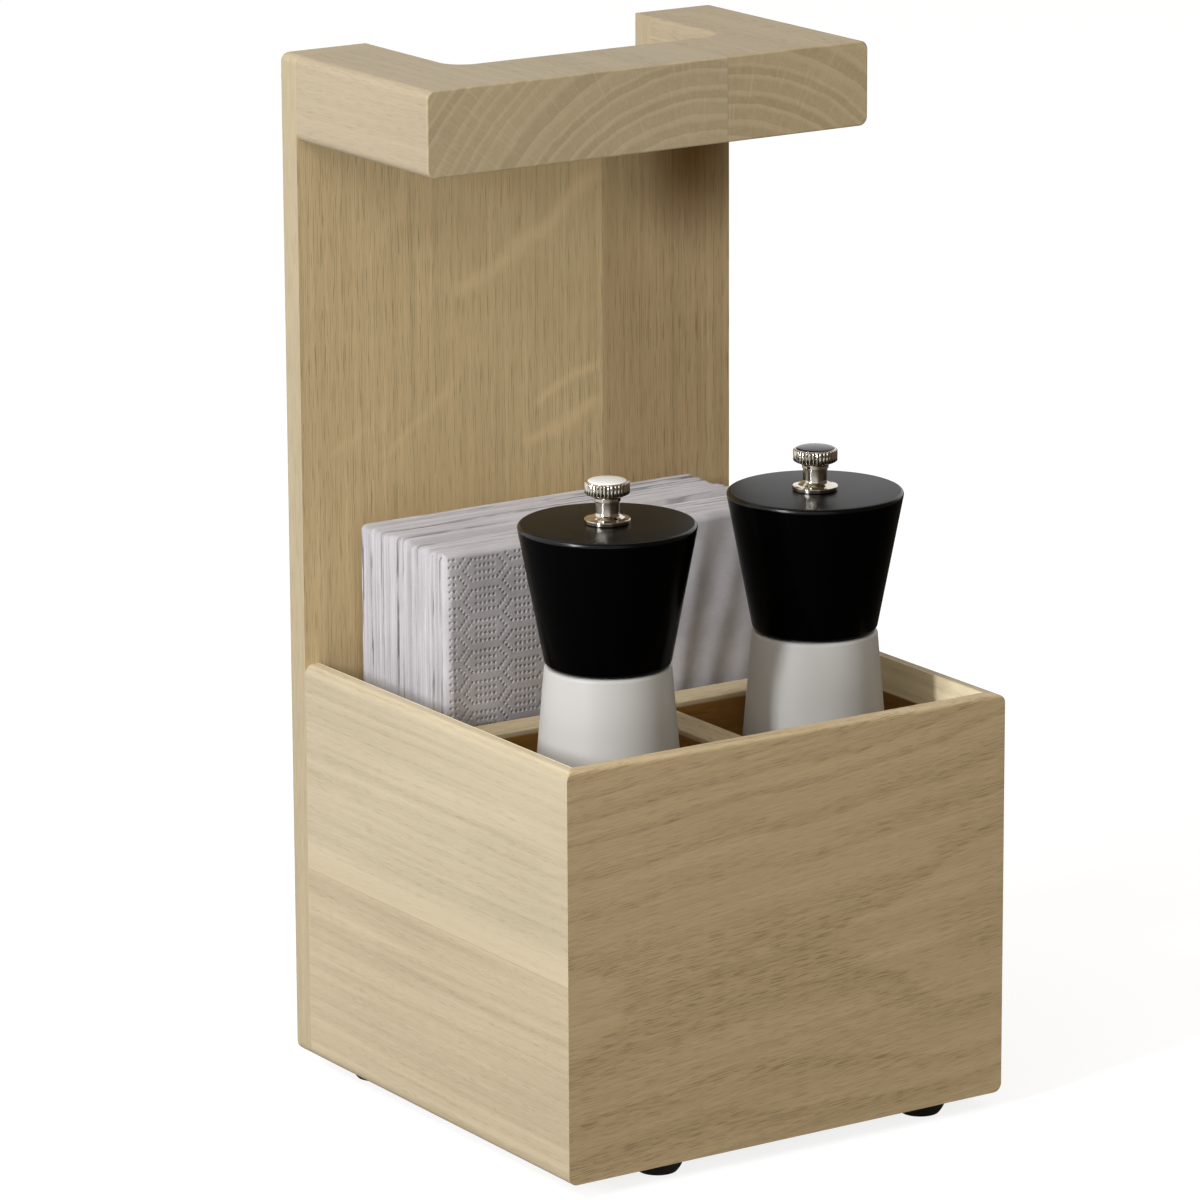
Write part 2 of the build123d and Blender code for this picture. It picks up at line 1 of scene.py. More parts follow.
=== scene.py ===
"""Looks of the oak table caddy: boards, drawer, grinder mills, napkins and the studio."""
from __future__ import annotations

import logging
import math
from collections.abc import Sequence
from dataclasses import dataclass
from enum import Enum
from functools import reduce

import bmesh
import bpy
import numpy as np
from mathutils import Matrix, Vector
from mathutils.kdtree import KDTree


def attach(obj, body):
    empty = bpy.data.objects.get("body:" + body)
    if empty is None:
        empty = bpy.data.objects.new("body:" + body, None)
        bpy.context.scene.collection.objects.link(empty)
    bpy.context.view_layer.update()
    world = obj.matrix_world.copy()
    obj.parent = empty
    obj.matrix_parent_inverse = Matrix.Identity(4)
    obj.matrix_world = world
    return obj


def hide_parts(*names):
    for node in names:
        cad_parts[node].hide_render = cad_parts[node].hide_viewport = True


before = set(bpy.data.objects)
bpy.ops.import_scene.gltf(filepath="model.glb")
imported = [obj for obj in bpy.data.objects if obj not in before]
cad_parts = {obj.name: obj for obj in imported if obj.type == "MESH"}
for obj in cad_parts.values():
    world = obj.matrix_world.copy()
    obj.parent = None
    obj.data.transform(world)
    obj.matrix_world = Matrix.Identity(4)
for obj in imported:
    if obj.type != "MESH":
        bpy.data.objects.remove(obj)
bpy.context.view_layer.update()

LOG = logging.getLogger("table_caddy")
MM = 0.001

Point = tuple[float, float]
Triple = tuple[float, float, float]
Colour = Triple
Material = bpy.types.Material
Mesh = bpy.types.Mesh
Socket = bpy.types.NodeSocket
Value = Socket | float | Triple
Links = dict[str | int, Value]

WHITE: Colour = (1.0, 1.0, 1.0)
FLOOR_TOP = 52.8 * MM
MILL_OFFSET = 38.0 * MM
MILL_DEPTH = -38.2 * MM
HEAD_TOP = FLOOR_TOP + 142.4 * MM


class Grain(Enum):
    """The row axis that a board's fibres run along."""

    ACROSS = 0
    DEEP = 1
    UPRIGHT = 2


class Side(Enum):
    """Which of the two mills a piece belongs to; the value is the sign of its place."""

    LEFT = -1
    RIGHT = 1


class Tree:
    """A node tree that is laid node by node."""

    def __init__(self, tree: bpy.types.NodeTree) -> None:
        """Take the tree that gets the nodes."""
        self.tree = tree

    def feed(self, socket: Socket, value: Value) -> None:
        """Link a socket to another one, or set it to a plain value.

        Args:
            socket: the input.
            value: a socket, a number, a vector or a colour.
        """
        if isinstance(value, Socket):
            self.tree.links.new(value, socket)
        elif socket.type == "RGBA":
            socket.default_value = (*value, 1.0)
        else:
            socket.default_value = value

    def node(self, kind: str, links: Links | None = None, **settings: object) -> bpy.types.Node:
        """Add a node and feed its inputs.

        Args:
            kind: Blender's name of the node type.
            links: input name or index to a socket or a plain value.
            settings: properties to set on it first.

        Returns:
            The new node.
        """
        made = self.tree.nodes.new(kind)
        for key, value in settings.items():
            setattr(made, key, value)
        for key, value in (links or {}).items():
            self.feed(made.inputs[key], value)
        return made

    def add(self, kind: str, links: Links | None = None, output: str | int = 0, **settings: object) -> Socket:
        """Add a node and hand back one of its outputs."""
        return self.node(kind, links, **settings).outputs[output]


class Graph(Tree):
    """Lays the shader nodes of one material or world."""

    def __init__(self, owner: Material | bpy.types.World) -> None:
        """Start an empty node tree.

        Args:
            owner: the material or world that gets the nodes.
        """
        owner.use_nodes = True
        super().__init__(owner.node_tree)
        self.owner = owner
        self.tree.nodes.clear()

    @classmethod
    def named(cls, name: str) -> Graph:
        """A graph for a new material."""
        return cls(bpy.data.materials.new(name))

    def calc(self, operation: str, first: Value, second: Value = 0.0) -> Socket:
        """One arithmetic step on one or two numbers."""
        return self.add("ShaderNodeMath", {0: first, 1: second}, operation=operation)

    def total(self, *terms: Value) -> Socket:
        """Sum of several numbers."""
        return reduce(lambda sum_, term: self.calc("ADD", sum_, term), terms)

    def times(self, *terms: Value) -> Socket:
        """Product of several numbers."""
        return reduce(lambda product, term: self.calc("MULTIPLY", product, term), terms)

    def less(self, first: Value, second: Value) -> Socket:
        """The first number less the second."""
        return self.calc("SUBTRACT", first, second)

    def size(self, value: Value) -> Socket:
        """A number without its sign."""
        return self.calc("ABSOLUTE", value)

    def above(self, value: Value, level: float) -> Socket:
        """1 where a number is above a level, else 0."""
        return self.calc("GREATER_THAN", value, level)

    def below(self, value: Value, level: float) -> Socket:
        """1 where a number is below a level, else 0."""
        return self.calc("LESS_THAN", value, level)

    def hypot(self, first: Value, second: Value) -> Socket:
        """Length of a step of two numbers at right angles."""
        return self.calc("SQRT", self.total(self.times(first, first), self.times(second, second)))

    def span(self, value: Value, low: float, high: float) -> Socket:
        """Smooth step from 0 at low to 1 at high."""
        links = {"Value": value, "From Min": low, "From Max": high}
        return self.add("ShaderNodeMapRange", links, interpolation_type="SMOOTHSTEP")

    def fall(self, value: Value, low: float, high: float) -> Socket:
        """Smooth step from 1 at low to 0 at high."""
        return self.less(1.0, self.span(value, low, high))

    def between(self, value: Value, low: float, high: float) -> Socket:
        """Map 0 to 1 onto low to high."""
        links = {"Value": value, "To Min": low, "To Max": high}
        return self.add("ShaderNodeMapRange", links)

    def spread(self, value: Value, reach: float) -> Socket:
        """Map 0 to 1 onto the reach on either side of 0."""
        return self.between(value, -reach, reach)

    def place(self) -> Socket:
        """The object's own coordinates."""
        return self.add("ShaderNodeTexCoord", output="Object")

    def split(self, vector: Socket) -> list[Socket]:
        """The three numbers of a vector."""
        return list(self.node("ShaderNodeSeparateXYZ", {0: vector}).outputs)

    def join(self, x: Value, y: Value, z: Value) -> Socket:
        """A vector from three numbers."""
        return self.add("ShaderNodeCombineXYZ", {0: x, 1: y, 2: z})

    def noise(self, vector: Socket, scale: float | Triple, detail: float = 2.0, rough: float = 0.5) -> Socket:
        """Soft noise, about 0.5 on average.

        Args:
            vector: where it is read.
            scale: cells per unit, for all axes or for each.
            detail: number of finer layers.
            rough: strength of the finer layers.

        Returns:
            The noise value.
        """
        if isinstance(scale, tuple):
            vector = self.add("ShaderNodeVectorMath", {0: vector, 1: scale}, operation="MULTIPLY")
            scale = 1.0
        links = {"Vector": vector, "Scale": scale, "Detail": detail, "Roughness": rough}
        return self.add("ShaderNodeTexNoise", links, noise_dimensions="3D")

    def mix(self, share: Value, first: Value, second: Value, blend: str = "MIX") -> Socket:
        """Mix two colours: a share of 0 shows the first, 1 the second."""
        settings = {"data_type": "RGBA", "blend_type": blend, "clamp_factor": True}
        return self.add("ShaderNodeMix", {0: share, 6: first, 7: second}, 2, **settings)

    def tint(self, mask: Value, colour: Value, tone: Colour) -> Socket:
        """Multiply a colour by a tone where a mask lies."""
        return self.mix(mask, colour, self.mix(1.0, colour, tone, "MULTIPLY"))

    def bump(self, height: Socket, strength: float, distance: float) -> Socket:
        """A normal tilted by a height, of which one unit is the distance in metres."""
        links = {"Strength": strength, "Distance": distance, "Height": height}
        return self.add("ShaderNodeBump", links)

    def blend(self, share: Value, first: Socket, second: Socket) -> Socket:
        """Mix two shaders: a share of 0 shows the first, 1 the second."""
        return self.add("ShaderNodeMixShader", {0: share, 1: first, 2: second})

    def close(self, shader: Socket, kind: str = "Material") -> Material | bpy.types.World:
        """End the tree in an output and hand back its owner."""
        self.node(f"ShaderNodeOutput{kind}", {"Surface": shader})
        return self.owner

    def surface(self, **values: Value) -> Material:
        """Close the tree with one principled shader; its inputs have underscores for spaces."""
        links = {key.replace("_", " "): value for key, value in values.items()}
        return self.close(self.add("ShaderNodeBsdfPrincipled", links))


@dataclass(frozen=True)
class Seam:
    """A glue line between two staves of one board, and the stave beyond it."""

    axis: int
    at: float
    shift: Point
    tone: Colour
    pale_band: float = 0.0
    pale_share: float = 0.6
    line: Point = (0.05 * MM, 0.25 * MM)
    line_share: float = 0.35


@dataclass(frozen=True)
class Flame:
    """A pale ray band on a quarter-sawn face, between two places in X and Z."""

    start: Point
    end: Point
    width: float
    strength: float
    stray: float = 1.6
    lead: Point = (-0.1, 0.15)

    def mask(self, g: Graph, xyz: list[Socket], waver: Socket) -> Socket:
        """Where the band lies.

        Args:
            g: the graph.
            xyz: the object coordinates.
            waver: noise that bends and breaks the band.

        Returns:
            The mask, up to the band's strength.
        """
        (x0, z0), (x1, z1) = self.start, self.end
        length = math.hypot(x1 - x0, z1 - z0)
        ux, uz = (x1 - x0) / length, (z1 - z0) / length
        dx, dz = g.less(xyz[0], x0), g.less(xyz[2], z0)
        run = g.total(g.times(dx, ux), g.times(dz, uz))
        off = g.total(g.times(dx, -uz), g.times(dz, ux), g.spread(waver, self.stray * self.width))
        faint, full = (share * length for share in self.lead)
        return g.times(
            g.fall(g.size(off), 0.0, self.width),
            g.span(run, faint, full),
            g.fall(run, length - full, length - faint),
            self.strength,
        )


@dataclass(frozen=True)
class PaintedShadow:
    """A painted shadow: a dark patch on a board's front that fades outwards, in X and Z."""

    centre: Point
    reach: Point
    tone: Colour

    def mask(self, g: Graph, xyz: list[Socket]) -> Socket:
        """Where the patch lies: full at its centre, nothing at its reach."""
        places = zip((xyz[0], xyz[2]), self.centre, self.reach)
        steps = [g.calc("DIVIDE", g.less(at, middle), reach) for at, middle, reach in places]
        return g.fall(g.hypot(*steps), 0.0, 1.0)


@dataclass(frozen=True)
class Cells:
    """The inside of the box: painted shade below the divider tops, and painted bounce light above them on the
    boards that take it.
    """

    half_width: float = 75.3 * MM
    near: float = -75.3 * MM
    far: float = 70.3 * MM
    low: float = 46.0 * MM
    high: float = 122.4 * MM
    rim: float = 134.5 * MM
    soft: Point = (-0.6 * MM, 0.4 * MM)
    # Colour of the painted shade in the cells, and gain of the painted bounce light above it.
    painted_shade: Colour = (0.50, 0.29, 0.09)
    painted_bounce: Colour = (1.85, 1.9, 1.85)

    def mask(self, g: Graph, xyz: list[Socket], low: float, high: float) -> Socket:
        """Where the inside lies between two heights, of which the upper has a soft edge."""
        return g.times(
            g.below(g.size(xyz[0]), self.half_width),
            g.above(xyz[1], self.near),
            g.below(xyz[1], self.far),
            g.above(xyz[2], low),
            g.fall(xyz[2], *(high + edge for edge in self.soft)),
        )


@dataclass(frozen=True)
class OakFigure:
    """The figure that all oak boards share: noise cells per metre, edges of masks and shades of the tone."""

    sway: Triple = (9.0, 9.0, 7.0)
    wiggle: Triple = (110.0, 110.0, 16.0)
    wiggle_reach: float = 0.9 * MM
    ring_drift: float = 0.31
    ring_reach: float = 1.1
    ring_strength: Point = (0.4, 1.0)
    streak: Triple = (270.0, 270.0, 5.0)
    streak_layers: Point = (3.0, 0.55)
    fibre: Triple = (900.0, 900.0, 13.0)
    fibre_layers: Point = (3.0, 0.6)
    cloud: Triple = (14.0, 14.0, 6.0)
    waver: Triple = (60.0, 60.0, 40.0)
    soft_layers: float = 3.0
    rays: Triple = (228.0, 70.0, 75.0)
    ray_edge: Point = (0.60, 0.70)
    pore_edge: Point = (0.55, 0.61)
    pores_by_ring: Point = (0.5, 1.0)
    cloud_edge: Point = (0.35, 0.65)
    pores_by_cloud: Point = (0.65, 1.0)
    end_contrast: float = 0.2
    end_pores: Point = (0.5, 0.0)
    stave_step: float = 0.37
    depth: float = 0.32
    pale: float = 1.12
    deep: float = 0.74
    pore: float = 0.36
    ray: float = 1.25
    flame: float = 1.22
    pale_band: float = 1.16
    glue: float = 0.6
    edge: float = 0.96
    edge_calm: float = 0.55
    rim_soft: float = 0.8 * MM
    fibre_height: float = 0.35
    pore_height: float = 0.8
    bump: Point = (0.35, 0.25 * MM)
    rough: Point = (0.56, 0.75)
    gloss: float = 0.3
    redden: Triple = (0.0, 0.06, 0.2)


@dataclass(frozen=True)
class OakFinish:
    """Oiled oak as solid wood: rings round a pith, pores and rays along it.

    The pith is given in the plane across the grain, in the order X, Y, Z.
    """

    name: str
    grain: Grain
    pith: Point
    tone: Colour
    ring: float = 4.6 * MM
    band: Triple = (0.10, 0.12, 0.62)
    sway: float = 3.0 * MM
    contrast: float = 0.35
    streak: float = 0.3
    fibre: float = 0.35
    pores: float = 0.5
    pore_size: Point = (3300.0, 170.0)
    fleck: float = 0.12
    patch: float = 0.5
    slope: float = 0.0
    end_face: float | None = None
    end_gain: Colour = WHITE
    edge_tone: Colour | None = None
    edge_behind: float = 70.05 * MM
    # Painted light: the top of the rim made lighter, as lit from above.
    painted_rim_light: Colour | None = None
    rim_from: float = 132.6 * MM
    seam: Seam | None = None
    # A painted shadow on the board's front, if any.
    painted_shadow: PaintedShadow | None = None
    flames: tuple[Flame, ...] = ()
    cells: Cells | None = None
    # Whether the board takes painted bounce light on its inner face above the divider tops.
    painted_bounce: bool = False
    look: OakFigure = OakFigure()

    def shade(self, factor: float) -> Colour:
        """The board's tone times a factor, a little redder when darker."""
        return tuple(c * (factor - lean * (1.0 - factor)) for c, lean in zip(self.tone, self.look.redden))

    def material(self) -> Material:
        """Build the node tree of this board."""
        return OakGraph(self).paint()


class OakGraph(Graph):
    """Lays the nodes of one oak board."""

    def __init__(self, finish: OakFinish) -> None:
        """Find the place in the log that each point of the board comes from.

        Args:
            finish: the board's oak.
        """
        super().__init__(bpy.data.materials.new(finish.name))
        self.finish, self.look = finish, finish.look
        self.xyz = self.split(self.place())
        run = finish.grain.value
        self.along = self.xyz[run]
        self.first, self.second = (self.xyz[i] for i in range(3) if i != run)
        if finish.slope:
            self.second = self.less(self.second, self.times(self.along, finish.slope))
        if finish.seam:
            self.beyond = self.above(self.xyz[finish.seam.axis], finish.seam.at)
            shifts = zip((self.first, self.second, self.along), (*finish.seam.shift, self.look.stave_step))
            moved = [self.total(at, self.times(self.beyond, shift)) for at, shift in shifts]
            self.first, self.second, self.along = moved
        if finish.end_face is not None:
            self.end = self.below(self.xyz[run], finish.end_face)
        self.spot = self.join(self.first, self.second, self.along)

    def rings(self) -> tuple[Socket, Socket, Socket]:
        """Year rings round the pith.

        Returns:
            The early wood, the same with each ring's own strength, and the place as angle, radius and run.
        """
        finish, look = self.finish, self.look
        out_a, out_b = self.less(self.first, finish.pith[0]), self.less(self.second, finish.pith[1])
        radius = self.total(
            self.hypot(out_a, out_b),
            self.spread(self.noise(self.spot, look.sway), finish.sway),
            self.spread(self.noise(self.spot, look.wiggle), look.wiggle_reach),
        )
        count = self.calc("DIVIDE", radius, finish.ring)
        drift = self.noise(self.join(self.times(count, look.ring_drift), 0.0, 0.0), 1.0, 1.0)
        count = self.total(count, self.spread(drift, look.ring_reach))
        phase = self.calc("FRACT", count)
        own = self.add("ShaderNodeTexWhiteNoise", {"W": self.calc("FLOOR", count)}, noise_dimensions="1D")
        rise, turn, stop = finish.band
        early = self.less(self.span(phase, 0.0, rise), self.span(phase, turn, stop))
        band = self.times(early, self.between(own, *look.ring_strength))
        return early, band, self.join(self.calc("ARCTAN2", out_b, out_a), radius, self.along)

    def figure(self) -> tuple[Socket, Socket, Socket]:
        """Rings, streaks, fibres, pores and rays.

        Returns:
            The colour, the pores and the fibres.
        """
        finish, look = self.finish, self.look
        early, band, round_pith = self.rings()
        streak = self.noise(self.spot, look.streak, *look.streak_layers)
        fibre = self.noise(self.spot, look.fibre, *look.fibre_layers)
        cloud = self.noise(self.spot, look.cloud, look.soft_layers)
        across, down = finish.pore_size
        pore = self.times(
            self.span(self.noise(self.spot, (across, across, down), 1.0), *look.pore_edge),
            self.between(early, *look.pores_by_ring),
            self.between(self.span(cloud, *look.cloud_edge), *look.pores_by_cloud),
        )
        rays = self.times(self.span(self.noise(round_pith, look.rays, 1.0), *look.ray_edge), finish.fleck)
        strength: Value = finish.contrast
        if finish.end_face is not None:
            strength = self.between(self.end, look.end_contrast * finish.contrast, finish.contrast)
            rays = self.times(rays, self.end)
            pore = self.times(pore, self.between(self.end, *look.end_pores))
        depth = self.total(
            self.times(band, strength),
            self.spread(cloud, 0.5 * finish.patch),
            self.spread(streak, finish.streak),
            self.spread(fibre, finish.fibre),
            look.depth,
        )
        colour = self.mix(depth, finish.shade(look.pale), finish.shade(look.deep))
        colour = self.mix(self.times(pore, finish.pores), colour, finish.shade(look.pore))
        return self.mix(rays, colour, finish.shade(look.ray)), pore, fibre

    def glue(self, colour: Socket, seam: Seam) -> Socket:
        """Tone the stave beyond a seam and draw the seam.

        Args:
            colour: the colour so far.
            seam: the seam.

        Returns:
            The colour with the seam.
        """
        colour = self.tint(self.beyond, colour, seam.tone)
        off = self.size(self.less(self.xyz[seam.axis], seam.at))
        if seam.pale_band:
            near = self.fall(off, 0.5 * seam.pale_band, seam.pale_band)
            pale = self.times(near, self.beyond, seam.pale_share)
            colour = self.mix(pale, colour, self.finish.shade(self.look.pale_band))
        line = self.times(self.fall(off, *seam.line), seam.line_share)
        return self.mix(line, colour, self.finish.shade(self.look.glue))

    def trim(self, colour: Socket) -> Socket:
        """Lay what only some boards have over the figure.

        Args:
            colour: colour of the figure.

        Returns:
            The colour with ray bands, seam, painted shadow, a lighter end face, toned edges, painted rim
            light, and painted shade and bounce light inside the cells.
        """
        finish, look, xyz, cells = self.finish, self.look, self.xyz, self.finish.cells
        if finish.flames:
            waver = self.noise(self.spot, look.waver, look.soft_layers)
            bands = self.total(*(flame.mask(self, xyz, waver) for flame in finish.flames))
            colour = self.mix(bands, colour, finish.shade(look.flame))
        if finish.seam:
            colour = self.glue(colour, finish.seam)
        # Painted shadow: a dark patch laid into the colour where shade falls.
        if finish.painted_shadow:
            colour = self.tint(finish.painted_shadow.mask(self, xyz), colour, finish.painted_shadow.tone)
        if finish.end_face is not None:
            colour = self.tint(self.end, colour, finish.end_gain)
        if finish.edge_tone:
            calm = self.mix(look.edge_calm, colour, finish.shade(look.edge))
            toned = self.mix(1.0, calm, finish.edge_tone, "MULTIPLY")
            colour = self.mix(self.above(xyz[1], finish.edge_behind), colour, toned)
        # Painted light on the top of the rim.
        if finish.painted_rim_light:
            rim = self.span(xyz[2], finish.rim_from, finish.rim_from + look.rim_soft)
            colour = self.tint(rim, colour, finish.painted_rim_light)
        # Painted shade below the divider tops, and painted bounce light on the inner walls above them.
        if cells:
            shaded = self.mix(1.0, colour, cells.painted_shade, "MULTIPLY")
            if finish.painted_bounce:
                colour = self.tint(cells.mask(self, xyz, cells.high, cells.rim), colour, cells.painted_bounce)
            colour = self.mix(cells.mask(self, xyz, cells.low, cells.high), colour, shaded)
        return colour

    def paint(self) -> Material:
        """Lay the whole tree and hand back the material."""
        look = self.look
        colour, pore, fibre = self.figure()
        height = self.less(self.times(fibre, look.fibre_height), self.times(pore, look.pore_height))
        return self.surface(
            Base_Color=self.trim(colour),
            Roughness=self.between(pore, *look.rough),
            Specular_IOR_Level=look.gloss,
            Normal=self.bump(height, *look.bump),
        )


@dataclass(frozen=True)
class LacquerFinish:
    """Sprayed satin lacquer on turned wood."""

    name: str
    colour: Colour
    rough: float
    fleck: float
    gloss: float = 0.5
    polish_from: float | None = None
    polish_to: float = 0.0
    polish_soft: float = 0.3 * MM
    polish: float = 0.5
    top_gloss: float = 0.5
    top_rough: float = 0.13
    mist: float = 2600.0
    drift: float = 38.0
    unevenness: float = 0.03
    bump: Point = (0.05, 0.05 * MM)

    def material(self) -> Material:
        """Build the node tree: an even coat with a faint spray texture, polished above a height."""
        g = Graph.named(self.name)
        spot = g.place()
        mist, drift = g.noise(spot, self.mist), g.noise(spot, self.drift)
        shade = g.between(drift, 1.0 - self.fleck, 1.0 + self.fleck)
        gloss: Value = self.gloss
        rough = g.total(g.spread(mist, self.unevenness), g.spread(drift, self.unevenness), self.rough)
        if self.polish_from is not None:
            height = g.split(spot)[2]
            worn = g.span(height, self.polish_from, self.polish_from + self.polish_soft)
            flat = g.above(height, self.polish_to)
            dulled = g.times(flat, self.top_gloss - self.polish)
            gloss = g.total(g.between(worn, self.gloss, self.polish), dulled)
            rough = g.total(rough, g.times(flat, self.top_rough))
        return g.surface(
            Base_Color=g.mix(1.0, self.colour, g.join(shade, shade, shade), "MULTIPLY"),
            Roughness=rough,
            Specular_IOR_Level=gloss,
            Normal=g.bump(mist, *self.bump),
        )


@dataclass(frozen=True)
class Grooves:
    """Painted shade in the grooves between the knurl's ridges, with a rougher finish, round an upright axis
    on either side of the middle.
    """

    offset: float = MILL_OFFSET
    depth: float = MILL_DEPTH
    low: float = HEAD_TOP + 9.3 * MM
    high: float = HEAD_TOP + 12.7 * MM
    root: float = 6.3 * MM
    crest: float = 6.57 * MM
    soft: float = 0.1 * MM
    # Colour of the painted shade in the grooves.
    tone: Colour = (0.08, 0.068, 0.052)
    rough: float = 0.3

    def mask(self, g: Graph, xyz: list[Socket]) -> Socket:
        """Where the grooves lie."""
        reach = g.hypot(g.less(g.size(xyz[0]), self.offset), g.less(xyz[1], self.depth))
        return g.times(
            g.fall(reach, self.crest - self.soft, self.crest),
            g.above(reach, self.root),
            g.above(xyz[2], self.low),
            g.below(xyz[2], self.high),
        )


@dataclass(frozen=True)
class MetalFinish:
    """Turned or rolled metal with fine tool lines round its axis."""

    name: str
    colour: Colour
    rough: float
    lines: float
    grooves: Grooves | None = None
    line_scale: Triple = (60.0, 60.0, 9000.0)
    line_depth: float = 0.02 * MM
    smear: Point = (160.0, 3.0)
    smear_rough: Point = (-0.04, 0.05)
    smear_dim: float = 0.9

    def material(self) -> Material:
        """Build the node tree: metal with level tool lines and faint smears."""
        g = Graph.named(self.name)
        spot = g.place()
        lines, smear = g.noise(spot, self.line_scale), g.noise(spot, *self.smear)
        colour = g.mix(smear, tuple(self.smear_dim * c for c in self.colour), self.colour)
        rough = g.total(g.between(smear, *self.smear_rough), self.rough)
        # Painted shade: the grooves between the ridges darkened.
        if self.grooves:
            groove_shade = self.grooves.mask(g, g.split(spot))
            colour = g.mix(groove_shade, colour, self.grooves.tone)
            rough = g.total(rough, g.times(groove_shade, self.grooves.rough))
        normal = g.bump(lines, self.lines, self.line_depth)
        return g.surface(Base_Color=colour, Metallic=1.0, Roughness=rough, Normal=normal)


@dataclass(frozen=True)
class RubberFinish:
    """Moulded black rubber."""

    name: str = "black_rubber"
    colour: Colour = (0.012, 0.012, 0.012)
    dusty: Colour = (0.03, 0.029, 0.027)
    skin: Point = (1900.0, 3.0)
    dust: Point = (240.0, 3.0)
    dust_edge: Point = (0.45, 0.8)
    rough: Point = (0.62, 0.8)
    bump: Point = (0.25, 0.08 * MM)

    def material(self) -> Material:
        """Build the node tree: matt rubber with a pebbled skin."""
        g = Graph.named(self.name)
        spot = g.place()
        skin, dust = g.noise(spot, *self.skin), g.noise(spot, *self.dust)
        return g.surface(
            Base_Color=g.mix(g.span(dust, *self.dust_edge), self.colour, self.dusty),
            Roughness=g.between(skin, *self.rough),
            Normal=g.bump(skin, *self.bump),
        )


@dataclass(frozen=True)
class PaperFinish:
    """Soft tissue paper, creped and slightly mottled, with painted shade as dark lines in the gaps where many
    leaves meet.
    """

    name: str
    pale: Colour = (0.66, 0.63, 0.635)
    deep: Colour = (0.49, 0.465, 0.465)
    lines: float = 0.0
    mottle: float = 0.35
    mottle_scale: Point = (70.0, 3.0)
    crepe: Triple = (260.0, 2600.0, 900.0)
    crepe_reach: float = 0.25
    fibre: Triple = (2200.0, 3.0, 0.65)
    layers: Point = (3.0, 0.6)
    depth: float = 0.35
    wobble: Triple = (30.0, 90.0, 30.0)
    wobble_reach: float = 0.9 * MM
    leaf: Triple = (5.0, 1300.0, 7.0)
    gap_edge: Point = (0.32, 0.41)
    # Colour of the painted shade in the leaf gaps.
    gap: Colour = (0.10, 0.093, 0.09)
    heights: Point = (0.7, 0.5)
    bump: Point = (0.6, 0.14 * MM)
    rough: Point = (0.85, 0.98)
    gloss: float = 0.2
    sheen: float = 0.15

    def material(self) -> Material:
        """Build the node tree: crepe lines, loose fibres, a mottled tone and the gaps."""
        g = Graph.named(self.name)
        spot = g.place()
        crepe = g.noise(spot, self.crepe, *self.layers)
        fibre = g.noise(spot, *self.fibre)
        mottle = g.noise(spot, *self.mottle_scale)
        tone = g.total(g.spread(mottle, self.mottle), g.spread(crepe, self.crepe_reach), self.depth)
        colour = g.mix(tone, self.pale, self.deep)
        # Painted shade: dark wavy lines where the gaps between the leaves lie.
        if self.lines:
            x, y, z = g.split(spot)
            y = g.total(y, g.spread(g.noise(spot, self.wobble, *self.layers), self.wobble_reach))
            gap = g.fall(g.noise(g.join(x, y, z), self.leaf, 1.0), *self.gap_edge)
            colour = g.mix(g.times(gap, self.lines), colour, self.gap)
        height = g.total(*(g.times(part, share) for part, share in zip((crepe, fibre), self.heights)))
        return g.surface(
            Base_Color=colour,
            Roughness=g.between(fibre, *self.rough),
            Specular_IOR_Level=self.gloss,
            Sheen_Weight=self.sheen,
            Normal=g.bump(height, *self.bump),
        )


COATS = (
    LacquerFinish("black_lacquer", (0.0006, 0.0006, 0.0006), 0.25, 0.15, 0.02, polish=0.37, top_gloss=0.13,
                  polish_from=HEAD_TOP - 1.5 * MM, polish_to=HEAD_TOP - 0.05 * MM),
    LacquerFinish("grey_lacquer", (0.495, 0.478, 0.448), 0.42, 0.025, 0.4),
    LacquerFinish("white_enamel", (0.86, 0.85, 0.81), 0.22, 0.02),
    LacquerFinish("black_enamel", (0.003, 0.003, 0.003), 0.13, 0.1, 0.4),
    MetalFinish("polished_nickel", (0.80, 0.74, 0.63), 0.1, 0.08, Grooves()),
    MetalFinish("plain_steel", (0.5, 0.5, 0.5), 0.32, 0.3),
    MetalFinish("burr_steel", (0.22, 0.22, 0.23), 0.5, 0.4),
)
# The leaves' edges take the painted shade lines of their gaps.
EDGE_PAPER = PaperFinish("napkin_edges", lines=0.7)
# The front napkin: a darker copy of the edge paper as painted shade, with a stronger mottle.
SHADED_FRONT_PAPER = PaperFinish("napkin_paper", (0.575, 0.545, 0.545), (0.37, 0.35, 0.35), mottle=0.8)


def put(name: str, data: bpy.types.ID) -> bpy.types.Object:
    """Add an object to the scene.

    Args:
        name: its name.
        data: its mesh, lamp or camera.

    Returns:
        The object, at the origin.
    """
    made = bpy.data.objects.new(name, data)
    bpy.context.scene.collection.objects.link(made)
    return made


def new_object(name: str, mesh: Mesh, finish: Material, smooth: float = 35.0) -> bpy.types.Object:
    """Put a mesh into the scene.

    Args:
        name: name of the piece.
        mesh: its mesh, in the row frame.
        finish: its material.
        smooth: largest angle in degrees that is shaded smooth.

    Returns:
        The new object, at the origin.
    """
    mesh.materials.clear()
    mesh.materials.append(finish)
    made = put(name, mesh)
    mesh.shade_smooth()
    mesh.set_sharp_from_angle(angle=math.radians(smooth))
    return made


def plain_mesh(name: str, points: list[Triple], faces: Sequence[Sequence[int]] = ()) -> Mesh:
    """A mesh of points and faces, or of loose points.

    Args:
        name: its name.
        points: its points.
        faces: point numbers of each face.

    Returns:
        The mesh.
    """
    mesh = bpy.data.meshes.new(name)
    mesh.from_pydata(points, [], faces)
    return mesh


